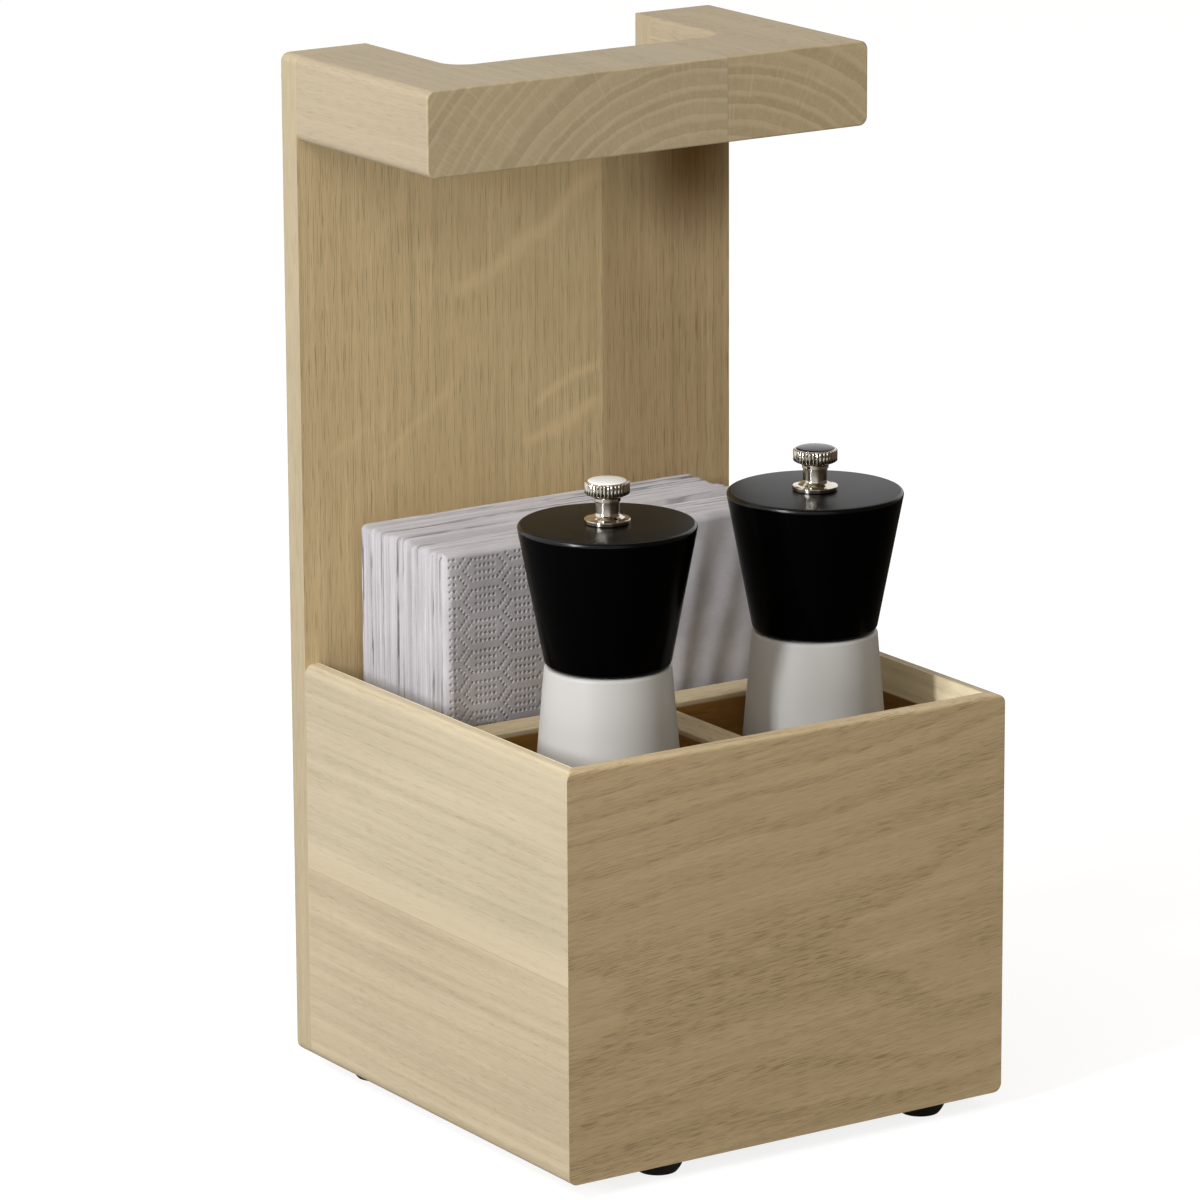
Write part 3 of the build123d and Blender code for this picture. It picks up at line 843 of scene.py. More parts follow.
def close_mesh(work: bmesh.types.BMesh, name: str) -> Mesh:
    """Turn the faces outwards and keep the work as a mesh.

    Args:
        work: the shape; it is freed.
        name: name of the mesh.

    Returns:
        The mesh.
    """
    bmesh.ops.recalc_face_normals(work, faces=work.faces)
    mesh = bpy.data.meshes.new(name)
    work.to_mesh(mesh)
    work.free()
    return mesh


def loft(rows: list[list[Triple]], name: str) -> Mesh:
    """Skin closed rows of points and cap both ends.

    Args:
        rows: points of each row, as many in one as in the next.
        name: name of the mesh.

    Returns:
        A closed mesh.
    """
    work = bmesh.new()
    rings = [[work.verts.new(point) for point in row] for row in rows]
    for near, far in zip(rings, rings[1:]):
        for k in range(len(near)):
            work.faces.new((near[k - 1], near[k], far[k], far[k - 1]))
    work.faces.new(rings[0])
    work.faces.new(rings[-1][::-1])
    return close_mesh(work, name)


def soften(corners: list[Triple], steps: int = 6) -> list[Point]:
    """Round the corners of a closed outline.

    Args:
        corners: (radius, height, rounding) of each corner in turn.
        steps: segments of each rounding.

    Returns:
        The outline's points.
    """
    points: list[Point] = []
    count = len(corners)
    for i, (r, z, rounding) in enumerate(corners):
        here = Vector((r, z))
        if rounding <= 0.0:
            points.append((r, z))
            continue
        back = Vector(corners[i - 1][:2]) - here
        ahead = Vector(corners[(i + 1) % count][:2]) - here
        half = back.angle(ahead) / 2.0
        cut = rounding / math.tan(half)
        centre = here + (back.normalized() + ahead.normalized()).normalized() * (rounding / math.sin(half))
        first = here + back.normalized() * cut - centre
        last = here + ahead.normalized() * cut - centre
        sweep = first.angle_signed(last)
        for k in range(steps + 1):
            spoke = first.copy()
            spoke.rotate(Matrix.Rotation(-sweep * k / steps, 2))
            points.append(tuple(centre + spoke))
    return points


def lathe(outline: list[Point], centre: Triple, turns: int = 128) -> Mesh:
    """Turn a closed outline about an upright axis.

    Args:
        outline: (radius, height) points, in metres.
        centre: foot of the axis in the row frame.
        turns: segments round the axis.

    Returns:
        A closed mesh.
    """
    work = bmesh.new()
    cx, cy, cz = centre
    rings = []
    for r, z in outline:
        angles = [2 * math.pi * k / turns for k in range(turns if r > 0.0 else 1)]
        rings.append([work.verts.new((cx + r * math.cos(a), cy + r * math.sin(a), cz + z)) for a in angles])
    for near, far in zip(rings, rings[1:] + rings[:1]):
        if len(near) == 1 and len(far) == 1:
            continue
        for k in range(turns):
            n = (k + 1) % turns
            loop = [near[k % len(near)], near[n % len(near)], far[n % len(far)], far[k % len(far)]]
            work.faces.new(list(dict.fromkeys(loop)))
    return close_mesh(work, "turned")


class Recipe(Tree):
    """A Geometry Nodes tree built in the script, with named inputs."""

    def __init__(self, name: str) -> None:
        """Start an empty tree.

        Args:
            name: name of the tree.
        """
        super().__init__(bpy.data.node_groups.new(name, "GeometryNodeTree"))
        for way in ("INPUT", "OUTPUT"):
            self.tree.interface.new_socket("Geometry", in_out=way, socket_type="NodeSocketGeometry")
        self.source, self.sink = self.node("NodeGroupInput"), self.node("NodeGroupOutput")
        self.names: dict[str, str] = {}

    def ask(self, **kinds: str) -> list[Socket]:
        """Add named inputs.

        Args:
            kinds: Float, Int, Object or Material for each name.

        Returns:
            The sockets that carry them inside the tree.
        """
        for name, kind in kinds.items():
            item = self.tree.interface.new_socket(name, in_out="INPUT", socket_type=f"NodeSocket{kind}")
            self.names[name] = item.identifier
        return [self.source.outputs[name] for name in kinds]

    def close(self, geometry: Socket, finish: Socket) -> None:
        """End the tree in Realize Instances and Set Material.

        Args:
            geometry: what the tree has made.
            finish: its material.
        """
        real = self.add("GeometryNodeRealizeInstances", {"Geometry": geometry})
        dressed = self.add("GeometryNodeSetMaterial", {"Geometry": real, "Material": finish})
        self.feed(self.sink.inputs[0], dressed)

    def run(self, base: Mesh, **values: object) -> Mesh:
        """Run the tree on a mesh.

        Args:
            base: the mesh it starts from.
            values: value of each named input.

        Returns:
            The result as a plain mesh.
        """
        holder = put("recipe_holder", base)
        modifier = holder.modifiers.new("recipe", "NODES")
        modifier.node_group = self.tree
        for name, value in values.items():
            modifier[self.names[name]] = value
        depsgraph = bpy.context.evaluated_depsgraph_get()
        mesh = bpy.data.meshes.new_from_object(holder.evaluated_get(depsgraph))
        holder.modifiers.remove(modifier)
        bpy.data.objects.remove(holder)
        return mesh


def dress(node: str, finish: Material) -> None:
    """Give a CAD node its finish.

    Args:
        node: name of the node.
        finish: its material.
    """
    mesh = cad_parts[node].data
    if mesh.materials:
        mesh.materials[0] = finish
    else:
        mesh.materials.append(finish)
    LOG.info("dressed %s in %s", node, finish.name)


@dataclass
class Woodwork:
    """Boards of the caddy and its drawer, each cut from its own piece of oak."""

    crown: float = 325.5 * MM
    handle_pith: Point = (18.5 * MM, -83.0 * MM)
    handle_front: float = -6.0 * MM
    end_margin: float = 0.3 * MM
    back_seam: float = 31.6 * MM
    handle_seam: float = 27.7 * MM
    side_seam: float = 67.5 * MM
    sides: Colour = (0.468, 0.384, 0.253)
    front: Colour = (0.51, 0.38, 0.21)
    back: Colour = (0.65, 0.496, 0.265)
    top: Colour = (0.41, 0.335, 0.222)
    inside: Colour = (0.62, 0.50, 0.31)
    inside_contrast: float = 0.3
    cells: Cells = Cells()

    def ray_bands(self) -> tuple[Flame, ...]:
        """Pale ray bands of the back board, as places in X and Z, width and strength."""
        places = (
            ((-24.0, 247.0), (-3.0, 252.0), 4.6, 0.5),
            ((-5.0, 251.0), (30.0, 279.0), 5.0, 0.6),
            ((5.0, 205.5), (31.0, 218.5), 3.2, 0.6),
            ((2.0, 192.3), (31.0, 203.5), 3.8, 0.6),
            ((-50.0, 196.0), (-23.0, 219.0), 2.6, 0.35),
            ((-69.0, 198.0), (-57.0, 207.0), 2.4, 0.3),
            ((-56.0, 257.0), (-42.0, 281.0), 4.0, 0.2),
        )
        return tuple(
            Flame((x0 * MM, z0 * MM), (x1 * MM, z1 * MM), width * MM, strength)
            for (x0, z0), (x1, z1), width, strength in places
        )

    def shown(self) -> dict[str, OakFinish]:
        """The oak of the boards that show outside, by node."""
        dark_stave = Seam(0, self.back_seam, (0.9, 0.01), (0.80, 0.77, 0.76))
        end_stave = Seam(0, self.handle_seam, (-6.0 * MM, 3.0 * MM), (1.05, 1.035, 1.01))
        pale_stave = Seam(2, self.side_seam, (0.03, 0.006), (1.03, 1.06, 1.08), 9.0 * MM)
        # Painted shadow of the handle on the back board's top right corner.
        painted_handle_shadow = PaintedShadow((66.0 * MM, 283.0 * MM), (31.0 * MM, 42.0 * MM), (0.33, 0.22, 0.08))
        pith = (self.handle_pith[0], self.crown + self.handle_pith[1])
        cells = self.cells
        return {
            "back_board": OakFinish(
                "oak_back", Grain.UPRIGHT, (-0.31, 0.076), self.back, ring=3.1 * MM, sway=1.2 * MM,
                contrast=0.15, streak=0.45, fibre=0.5, pore_size=(2600.0, 85.0), fleck=0.1, seam=dark_stave,
                edge_tone=(0.70, 0.755, 0.9), painted_shadow=painted_handle_shadow, flames=self.ray_bands(), cells=cells),
            "handle_block": OakFinish(
                "oak_handle", Grain.DEEP, pith, self.top, ring=4.7 * MM, band=(0.05, 0.55, 0.85),
                sway=1.2 * MM, contrast=0.45, streak=0.2, fibre=0.25, fleck=0.3, end_gain=(1.28, 1.25, 1.15),
                end_face=self.handle_front + self.end_margin, seam=end_stave),
            "left_side": OakFinish(
                "oak_left", Grain.DEEP, (0.02, -0.09), self.sides, ring=4.0 * MM, contrast=0.15, streak=0.5,
                fibre=0.22, pores=0.2, patch=0.8, seam=pale_stave, cells=cells, painted_rim_light=(1.34, 1.35, 1.38),
                painted_bounce=True),
            "right_side": OakFinish(
                "oak_right", Grain.DEEP, (-0.03, -0.11), self.sides, ring=4.2 * MM, contrast=0.15, streak=0.5,
                fibre=0.22, pores=0.2, cells=cells, painted_bounce=True),
            "front_panel": OakFinish(
                "oak_front", Grain.ACROSS, (0.015, 0.06), self.front, ring=4.4 * MM, sway=9.0 * MM,
                contrast=0.34, pores=0.55, pore_size=(3100.0, 130.0), slope=0.09, cells=cells,
                painted_rim_light=(1.13, 1.18, 1.27)),
            "drawer_front": OakFinish(
                "oak_drawer_front", Grain.DEEP, (-0.04, -0.09), self.sides, contrast=0.2, streak=0.4),
        }

    def hidden(self) -> dict[str, OakFinish]:
        """The oak of the boards inside, by node: all of one tone, with painted shade where they reach into
        the cells.
        """
        cells = self.cells
        boards = (
            ("napkin_divider", "oak_napkin_divider", Grain.ACROSS, (-0.05, -0.05), cells),
            ("cell_divider", "oak_cell_divider", Grain.DEEP, (-0.08, -0.02), cells),
            ("floor_board", "oak_floor", Grain.ACROSS, (0.03, -0.09), cells),
            ("bottom_board", "oak_bottom", Grain.ACROSS, (-0.02, -0.12), None),
            ("drawer_side_near", "oak_drawer_near", Grain.ACROSS, (-0.15, -0.06), None),
            ("drawer_side_far", "oak_drawer_far", Grain.ACROSS, (0.16, -0.05), None),
            ("drawer_back", "oak_drawer_back", Grain.DEEP, (-0.13, -0.06), None),
            ("drawer_bottom", "oak_drawer_bottom", Grain.DEEP, (0.02, -0.12), None),
            ("drawer_stop", "oak_drawer_stop", Grain.DEEP, (0.06, -0.03), None),
            ("corner_splines", "oak_splines", Grain.UPRIGHT, (0.0, 0.05), None),
            ("handle_dowels", "oak_dowels", Grain.DEEP, (0.0, 0.28), None),
        )
        return {
            node: OakFinish(name, grain, pith, self.inside, contrast=self.inside_contrast, cells=painted_shade)
            for node, name, grain, pith, painted_shade in boards
        }

    def build(self) -> None:
        """Dress every board."""
        for node, finish in (self.shown() | self.hidden()).items():
            dress(node, finish.material())


@dataclass
class Feet:
    """Rubber feet and their screws."""

    corners: tuple[str, ...] = ("front_left", "front_right", "rear_left", "rear_right")

    def build(self, steel: Material) -> None:
        """Dress the feet and the screws.

        Args:
            steel: finish of the screws.
        """
        rubber = RubberFinish().material()
        for corner in self.corners:
            dress(f"foot_{corner}", rubber)
        dress("foot_screws", steel)


@dataclass(frozen=True)
class ThumbNut:
    """The knurled nut on a mill's head and the disc in its top, in millimetres above the head."""

    bore: float = 3.0
    rim: float = 6.4
    top: float = 13.0
    seat: float = 12.2
    bore_top: float = 10.8
    seat_radius: float = 5.95
    disc_radius: float = 5.85
    dome: float = 0.75
    dome_steps: int = 14
    ridges: int = 36
    ridge_proud: float = 0.42
    ridge_half: float = 0.53
    ridge_crown: Point = (0.9, 0.14)
    ridge_root: float = -0.2
    ridge_ends: tuple[float, float, float, float] = (9.1, 9.4, 12.6, 12.85)

    def outline(self) -> list[Point]:
        """Outline of the nut in metres: flange, waisted stem, knurled rim, seat and bore."""
        corners = [
            (self.bore, 0.0, 0.0), (6.75, 0.0, 0.15), (7.0, 0.3, 0.15), (7.0, 1.45, 0.3), (5.3, 1.85, 0.6),
            (3.75, 2.7, 1.3), (3.75, 6.75, 0.1), (4.1, 7.0, 0.15), (4.1, 8.1, 0.3), (6.1, 8.95, 0.25),
            (self.rim, 9.2, 0.1), (self.rim, 12.55, 0.15), (6.25, self.top, 0.15),
            (self.seat_radius, self.top, 0.05), (self.seat_radius, self.seat, 0.0), (0.0, self.seat, 0.0),
            (0.0, self.bore_top, 0.0), (self.bore, self.bore_top, 0.0),
        ]
        return soften([(r * MM, z * MM, rounding * MM) for r, z, rounding in corners])

    def disc_outline(self) -> list[Point]:
        """Outline of the domed disc in metres."""
        angles = np.linspace(0.0, math.pi / 2, self.dome_steps)[:-1]
        dome = [(self.disc_radius * math.cos(a), self.top + self.dome * math.sin(a)) for a in angles]
        points = [(0.0, self.seat), (self.disc_radius, self.seat), *dome, (0.0, self.top + self.dome)]
        return [(r * MM, z * MM) for r, z in points]

    def ridge_mesh(self) -> Mesh:
        """One upright knurl ridge, rounded and tapered at its ends."""
        share, crown = self.ridge_crown
        rows = []
        for z, proud in zip(self.ridge_ends, (0.0, self.ridge_proud, self.ridge_proud, 0.0)):
            half = [(self.ridge_root, self.ridge_half), (0.0, self.ridge_half), (share * proud, crown)]
            row = [(out, -side) for out, side in half] + [(proud, 0.0)] + half[::-1]
            rows.append([(out * MM, side * MM, z * MM) for out, side in row])
        return loft(rows, "ridge")

    def mesh(self, name: str, finish: Material) -> Mesh:
        """Turn the nut and set ridges round its rim.

        Args:
            name: name of the tree that sets the ridges.
            finish: polished nickel.

        Returns:
            The nut, standing on the origin.
        """
        recipe = Recipe(name)
        kinds = {"Ridges": "Int", "Radius": "Float", "Ridge": "Object", "Finish": "Material"}
        count, radius, ridge, coat = recipe.ask(**kinds)
        circle = recipe.add("GeometryNodeMeshCircle", {"Vertices": count, "Radius": radius})
        spot = recipe.add("GeometryNodeInputPosition")
        turn = recipe.add("FunctionNodeAlignEulerToVector", {"Vector": spot}, axis="X")
        shape = recipe.add("GeometryNodeObjectInfo", {"Object": ridge}, "Geometry")
        places = {"Points": circle, "Instance": shape, "Rotation": turn}
        ring = recipe.add("GeometryNodeInstanceOnPoints", places)
        both = recipe.node("GeometryNodeJoinGeometry", {0: ring})
        recipe.feed(both.inputs[0], recipe.source.outputs["Geometry"])
        recipe.close(both.outputs[0], coat)
        tooth = bpy.data.objects.new("ridge", self.ridge_mesh())
        turned = lathe(self.outline(), (0.0, 0.0, 0.0), 3 * self.ridges)
        mesh = recipe.run(turned, Ridges=self.ridges, Radius=self.rim * MM, Ridge=tooth, Finish=finish)
        bpy.data.objects.remove(tooth)
        return mesh


@dataclass
class Mill:
    """One grinder mill: grey body, black head, bright nut and its grinder."""

    side: Side
    offset: float = MILL_OFFSET
    depth: float = MILL_DEPTH
    base: float = FLOOR_TOP
    base_radius: float = 27.7 * MM
    waist_radius: float = 19.3 * MM
    body_height: float = 98.5 * MM
    body_rounding: float = 1.2 * MM
    mouth_rounding: float = 0.4 * MM
    head_gap: float = 0.4 * MM
    head_waist_radius: float = 19.1 * MM
    head_waist_rounding: float = 1.8 * MM
    head_top_radius: float = 27.4 * MM
    head_top_rounding: float = 1.2 * MM
    chamber_radius: float = 13.0 * MM
    spigot_radius: float = 12.8 * MM
    spigot_length: float = 8.0 * MM
    spigot_rounding: float = 0.5 * MM
    pocket_radius: float = 15.0 * MM
    pocket_top: float = 19.1 * MM
    plate_radius: float = 21.05 * MM
    plate_depth: float = 1.6 * MM
    drive_radius: float = 9.05 * MM
    drive_depth: float = 2.0 * MM
    bore_radius: float = 4.39 * MM
    nut: ThumbNut = ThumbNut()
    disc_turns: int = 96

    @property
    def body_key(self) -> str:
        """Prefix of the mill's moving bodies."""
        return self.side.name.lower()

    @property
    def name(self) -> str:
        """Prefix of the mill's nodes."""
        return f"{self.body_key}_mill"

    @property
    def enamel(self) -> str:
        """Finish of the disc in the nut's top."""
        return "white_enamel" if self.side is Side.LEFT else "black_enamel"

    @property
    def centre(self) -> Triple:
        """Foot of the mill's axis."""
        return (self.side.value * self.offset, self.depth, self.base)

    def build_body(self, finish: Material) -> None:
        """Turn the conical body with its chamber.

        Args:
            finish: grey lacquer.
        """
        outline = soften([
            (self.plate_radius, 0.0, 0.0),
            (self.base_radius, 0.0, self.body_rounding),
            (self.waist_radius, self.body_height, self.body_rounding),
            (self.chamber_radius, self.body_height, self.mouth_rounding),
            (self.chamber_radius, self.pocket_top, 0.0),
            (self.pocket_radius, self.pocket_top, 0.0),
            (self.pocket_radius, self.plate_depth, 0.0),
            (self.plate_radius, self.plate_depth, 0.0),
        ])
        made = new_object(f"{self.name}_turned_body", lathe(outline, self.centre), finish)
        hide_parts(f"{self.name}_body")
        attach(made, f"{self.body_key}_mill")

    def build_head(self, finish: Material) -> None:
        """Turn the black head with its spigot.

        Args:
            finish: black lacquer.
        """
        foot, top = self.body_height + self.head_gap, HEAD_TOP - self.base
        tip = foot - self.spigot_length
        outline = soften([
            (self.bore_radius, top, 0.0),
            (self.bore_radius, tip + self.drive_depth, 0.0),
            (self.drive_radius, tip + self.drive_depth, 0.0),
            (self.drive_radius, tip, 0.0),
            (self.spigot_radius, tip, self.spigot_rounding),
            (self.spigot_radius, foot, 0.0),
            (self.head_waist_radius, foot, self.head_waist_rounding),
            (self.head_top_radius, top, self.head_top_rounding),
        ])
        made = new_object(f"{self.name}_turned_head", lathe(outline, self.centre), finish)
        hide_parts(f"{self.name}_head")
        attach(made, f"{self.body_key}_head")

    def build_nut(self, finish: Material, enamel: Material) -> None:
        """Set the thumb nut on the head and lay its disc.

        Args:
            finish: polished nickel.
            enamel: finish of the disc.
        """
        seat = (*self.centre[:2], HEAD_TOP)
        mesh = self.nut.mesh(f"{self.name}_knurl", finish)
        mesh.transform(Matrix.Translation(seat))
        made = new_object(f"{self.name}_knurled_nut", mesh, finish, 40.0)
        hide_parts(f"{self.name}_thumb_nut")
        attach(made, f"{self.body_key}_nut")
        disc = lathe(self.nut.disc_outline(), seat, self.disc_turns)
        made = new_object(f"{self.name}_domed_disc", disc, enamel, 50.0)
        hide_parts(f"{self.name}_cap_disc")
        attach(made, f"{self.body_key}_nut")

    def build(self, coats: dict[str, Material]) -> None:
        """Make the turned pieces and dress the grinder.

        Args:
            coats: the materials, by name.
        """
        self.build_body(coats["grey_lacquer"])
        self.build_head(coats["black_lacquer"])
        self.build_nut(coats["polished_nickel"], coats[self.enamel])
        for piece in ("spindle", "drive_plate", "bridge", "spring", "retaining_plate", "plate_screws"):
            dress(f"{self.name}_{piece}", coats["plain_steel"])
        for piece in ("burr_ring", "burr_cone"):
            dress(f"{self.name}_{piece}", coats["burr_steel"])
        LOG.info("built the %s", self.name)


@dataclass(frozen=True)
class Crease:
    """A slanted crease of the front napkin that fades out below its top edge."""

    at: float
    lean: float
    width: float
    size: float
    pivot: float = 90.0 * MM
    top: float = 118.0 * MM
    fade: float = 4.0 * MM

    def height(self, x: np.ndarray, z: np.ndarray) -> np.ndarray:
        """How far the crease stands out at every place."""
        line = (x - self.at - self.lean * (z - self.pivot)) / self.width
        return self.size * np.exp(-(line ** 2)) / (1.0 + np.exp((z - self.top) / self.fade))


def wave(x: np.ndarray, z: np.ndarray, across: float, up: float, phase: float = 0.0) -> np.ndarray:
    """A slanted wave between -1 and 1, in radians per metre."""
    return np.sin(across * x + up * z + phase)


@dataclass(frozen=True)
class FrontNapkin:
    """The napkin in front: embossed along its left edge, creased towards the right.

    The dots form hexagons, in columns of which every second one stands half a step up.
    """

    width: float
    height: float
    front: float
    base: float
    sides: Point = (0.2 * MM, 0.6 * MM)
    ends: float = 0.2 * MM
    border: float = 36.0 * MM
    fine_step: float = 0.29 * MM
    coarse_columns: int = 60
    rows: int = 430
    face_depth: float = 1.6 * MM
    back_depth: float = 3.4 * MM
    dots_from: Point = (14.5 * MM, 1.9 * MM)
    pitch: float = 1.6 * MM
    row_gap: float = 2.15 * MM
    slant: float = 1.75
    column_gap: float = 14.3 * MM
    period: float = 9.75 * MM
    periods: range = range(-1, 14)
    dot_margins: tuple[Point, Point] = ((1.3 * MM, 1.0 * MM), (1.2 * MM, 1.6 * MM))
    dot_radius: float = 0.56 * MM
    dot_depth: float = 0.68 * MM
    tuck: float = 1.5 * MM
    fold: float = 2.3 * MM
    fold_waves: tuple[Triple, ...] = ((0.5 * MM, 40.0, 61.0), (0.3 * MM, -25.0, 173.0))
    swells: tuple[tuple[float, Triple, Triple], ...] = (
        (0.35 * MM, (41.0, 0.0, 0.4), (0.0, 33.0, 1.1)),
        (0.25 * MM, (150.0, 70.0, 0.0), (-60.0, 120.0, 0.7)),
    )
    edge_wave: Triple = (0.0, 52.0, 0.8)
    edge_sway: float = 0.5 * MM
    edge_reach: float = 6.0 * MM
    creases: tuple[Crease, ...] = (
        Crease(6.0 * MM, 0.10, 3.5 * MM, 0.9 * MM),
        Crease(17.0 * MM, 0.16, 2.8 * MM, 0.7 * MM),
        Crease(27.0 * MM, 0.20, 4.0 * MM, 1.0 * MM),
        Crease(40.0 * MM, 0.28, 4.5 * MM, 0.9 * MM),
        Crease(52.0 * MM, 0.22, 4.0 * MM, 0.6 * MM),
        Crease(-12.0 * MM, 0.06, 6.0 * MM, 0.4 * MM),
    )

    def dots(self) -> list[Point]:
        """Places of the embossed dots, from the napkin's left edge and foot."""
        quarter = [(k, 1.5) for k in range(4)] + [(k, 0.5) for k in range(3)]
        quarter += [(3.0 + self.slant * k / 3, 1.5 - 0.5 * k) for k in (1, 2, 3)]
        signs = [(sx, sz) for sx in (-1, 1) for sz in (-1, 1)]
        cell = [(sx * x * self.pitch, sz * z * self.row_gap) for x, z in quarter for sx, sz in signs]
        found: list[Point] = []
        for column in (-1, 0, 1):
            x0 = self.dots_from[0] + column * self.column_gap
            for row in self.periods:
                z0 = self.dots_from[1] + (row + 0.5 * abs(column)) * self.period
                found += [(x0 + x, z0 + z) for x, z in cell]
        (left, right), (low, high) = self.dot_margins
        return [(x, z) for x, z in found if left < x < self.border - right and low < z < self.height - high]

    def dimples(self, x: np.ndarray, z: np.ndarray) -> np.ndarray:
        """Depth of the embossed dots.

        Args:
            x: places from the left edge.
            z: heights above the foot.

        Returns:
            The depth at every place, in metres.
        """
        dots = self.dots()
        tree = KDTree(len(dots))
        for i, (dot_x, dot_z) in enumerate(dots):
            tree.insert((dot_x, 0.0, dot_z), i)
        tree.balance()
        depth = np.zeros_like(x)
        for place in zip(*np.nonzero(x < self.border)):
            near = tree.find((x[place], 0.0, z[place]))[2] / self.dot_radius
            if near < 1.0:
                depth[place] = self.dot_depth * (0.5 + 0.5 * math.cos(math.pi * near))
        return depth

    def face(self) -> np.ndarray:
        """Points of the face by row and column, in the row frame, fine where it is embossed."""
        left, right = self.sides[0] - self.width / 2, self.width / 2 - self.sides[1]
        edge = left + self.border
        columns = [np.arange(left, edge, self.fine_step), np.linspace(edge, right, self.coarse_columns)]
        heights = np.linspace(self.ends, self.height - self.ends, self.rows)
        x, z = np.meshgrid(np.concatenate(columns), heights)
        inward = np.minimum.reduce([x - left, right - x, z - heights[0], heights[-1] - z])
        fold = self.fold + sum(size * wave(x, z, *turns) for size, *turns in self.fold_waves)
        y = self.front + self.face_depth + self.tuck * np.clip(1.0 - inward / fold, 0.0, 1.0) ** 2
        y += self.edge_sway * wave(x, z, *self.edge_wave) * np.exp((left - x) / self.edge_reach)
        for size, one, other in self.swells:
            y -= size * wave(x, z, *one) * wave(x, z, *other)
        for crease in self.creases:
            y -= crease.height(x, z)
        return np.stack([x, y + self.dimples(x + self.width / 2, z), self.base + z], axis=-1)

    def mesh(self) -> Mesh:
        """A closed mesh: the face, a flat back and the strip between them."""
        face = self.face()
        rows, cols, _ = face.shape
        number = np.arange(rows * cols).reshape(rows, cols)
        verts = face.reshape(-1, 3).tolist()
        corners = (number[:-1, :-1], number[:-1, 1:], number[1:, 1:], number[1:, :-1])
        faces = np.stack(corners, axis=-1).reshape(-1, 4).tolist()
        sides = (number[0, :-1], number[:-1, -1], number[-1, :0:-1], number[:0:-1, 0])
        rim = np.concatenate(sides).tolist()
        start, count = len(verts), len(rim)
        verts += [(verts[i][0], self.front + self.back_depth, verts[i][2]) for i in rim]
        faces += [(rim[k], start + k, start + (k + 1) % count, rim[(k + 1) % count]) for k in range(count)]
        faces.append(tuple(range(start + count - 1, start - 1, -1)))
        return plain_mesh("front_napkin", verts, faces)


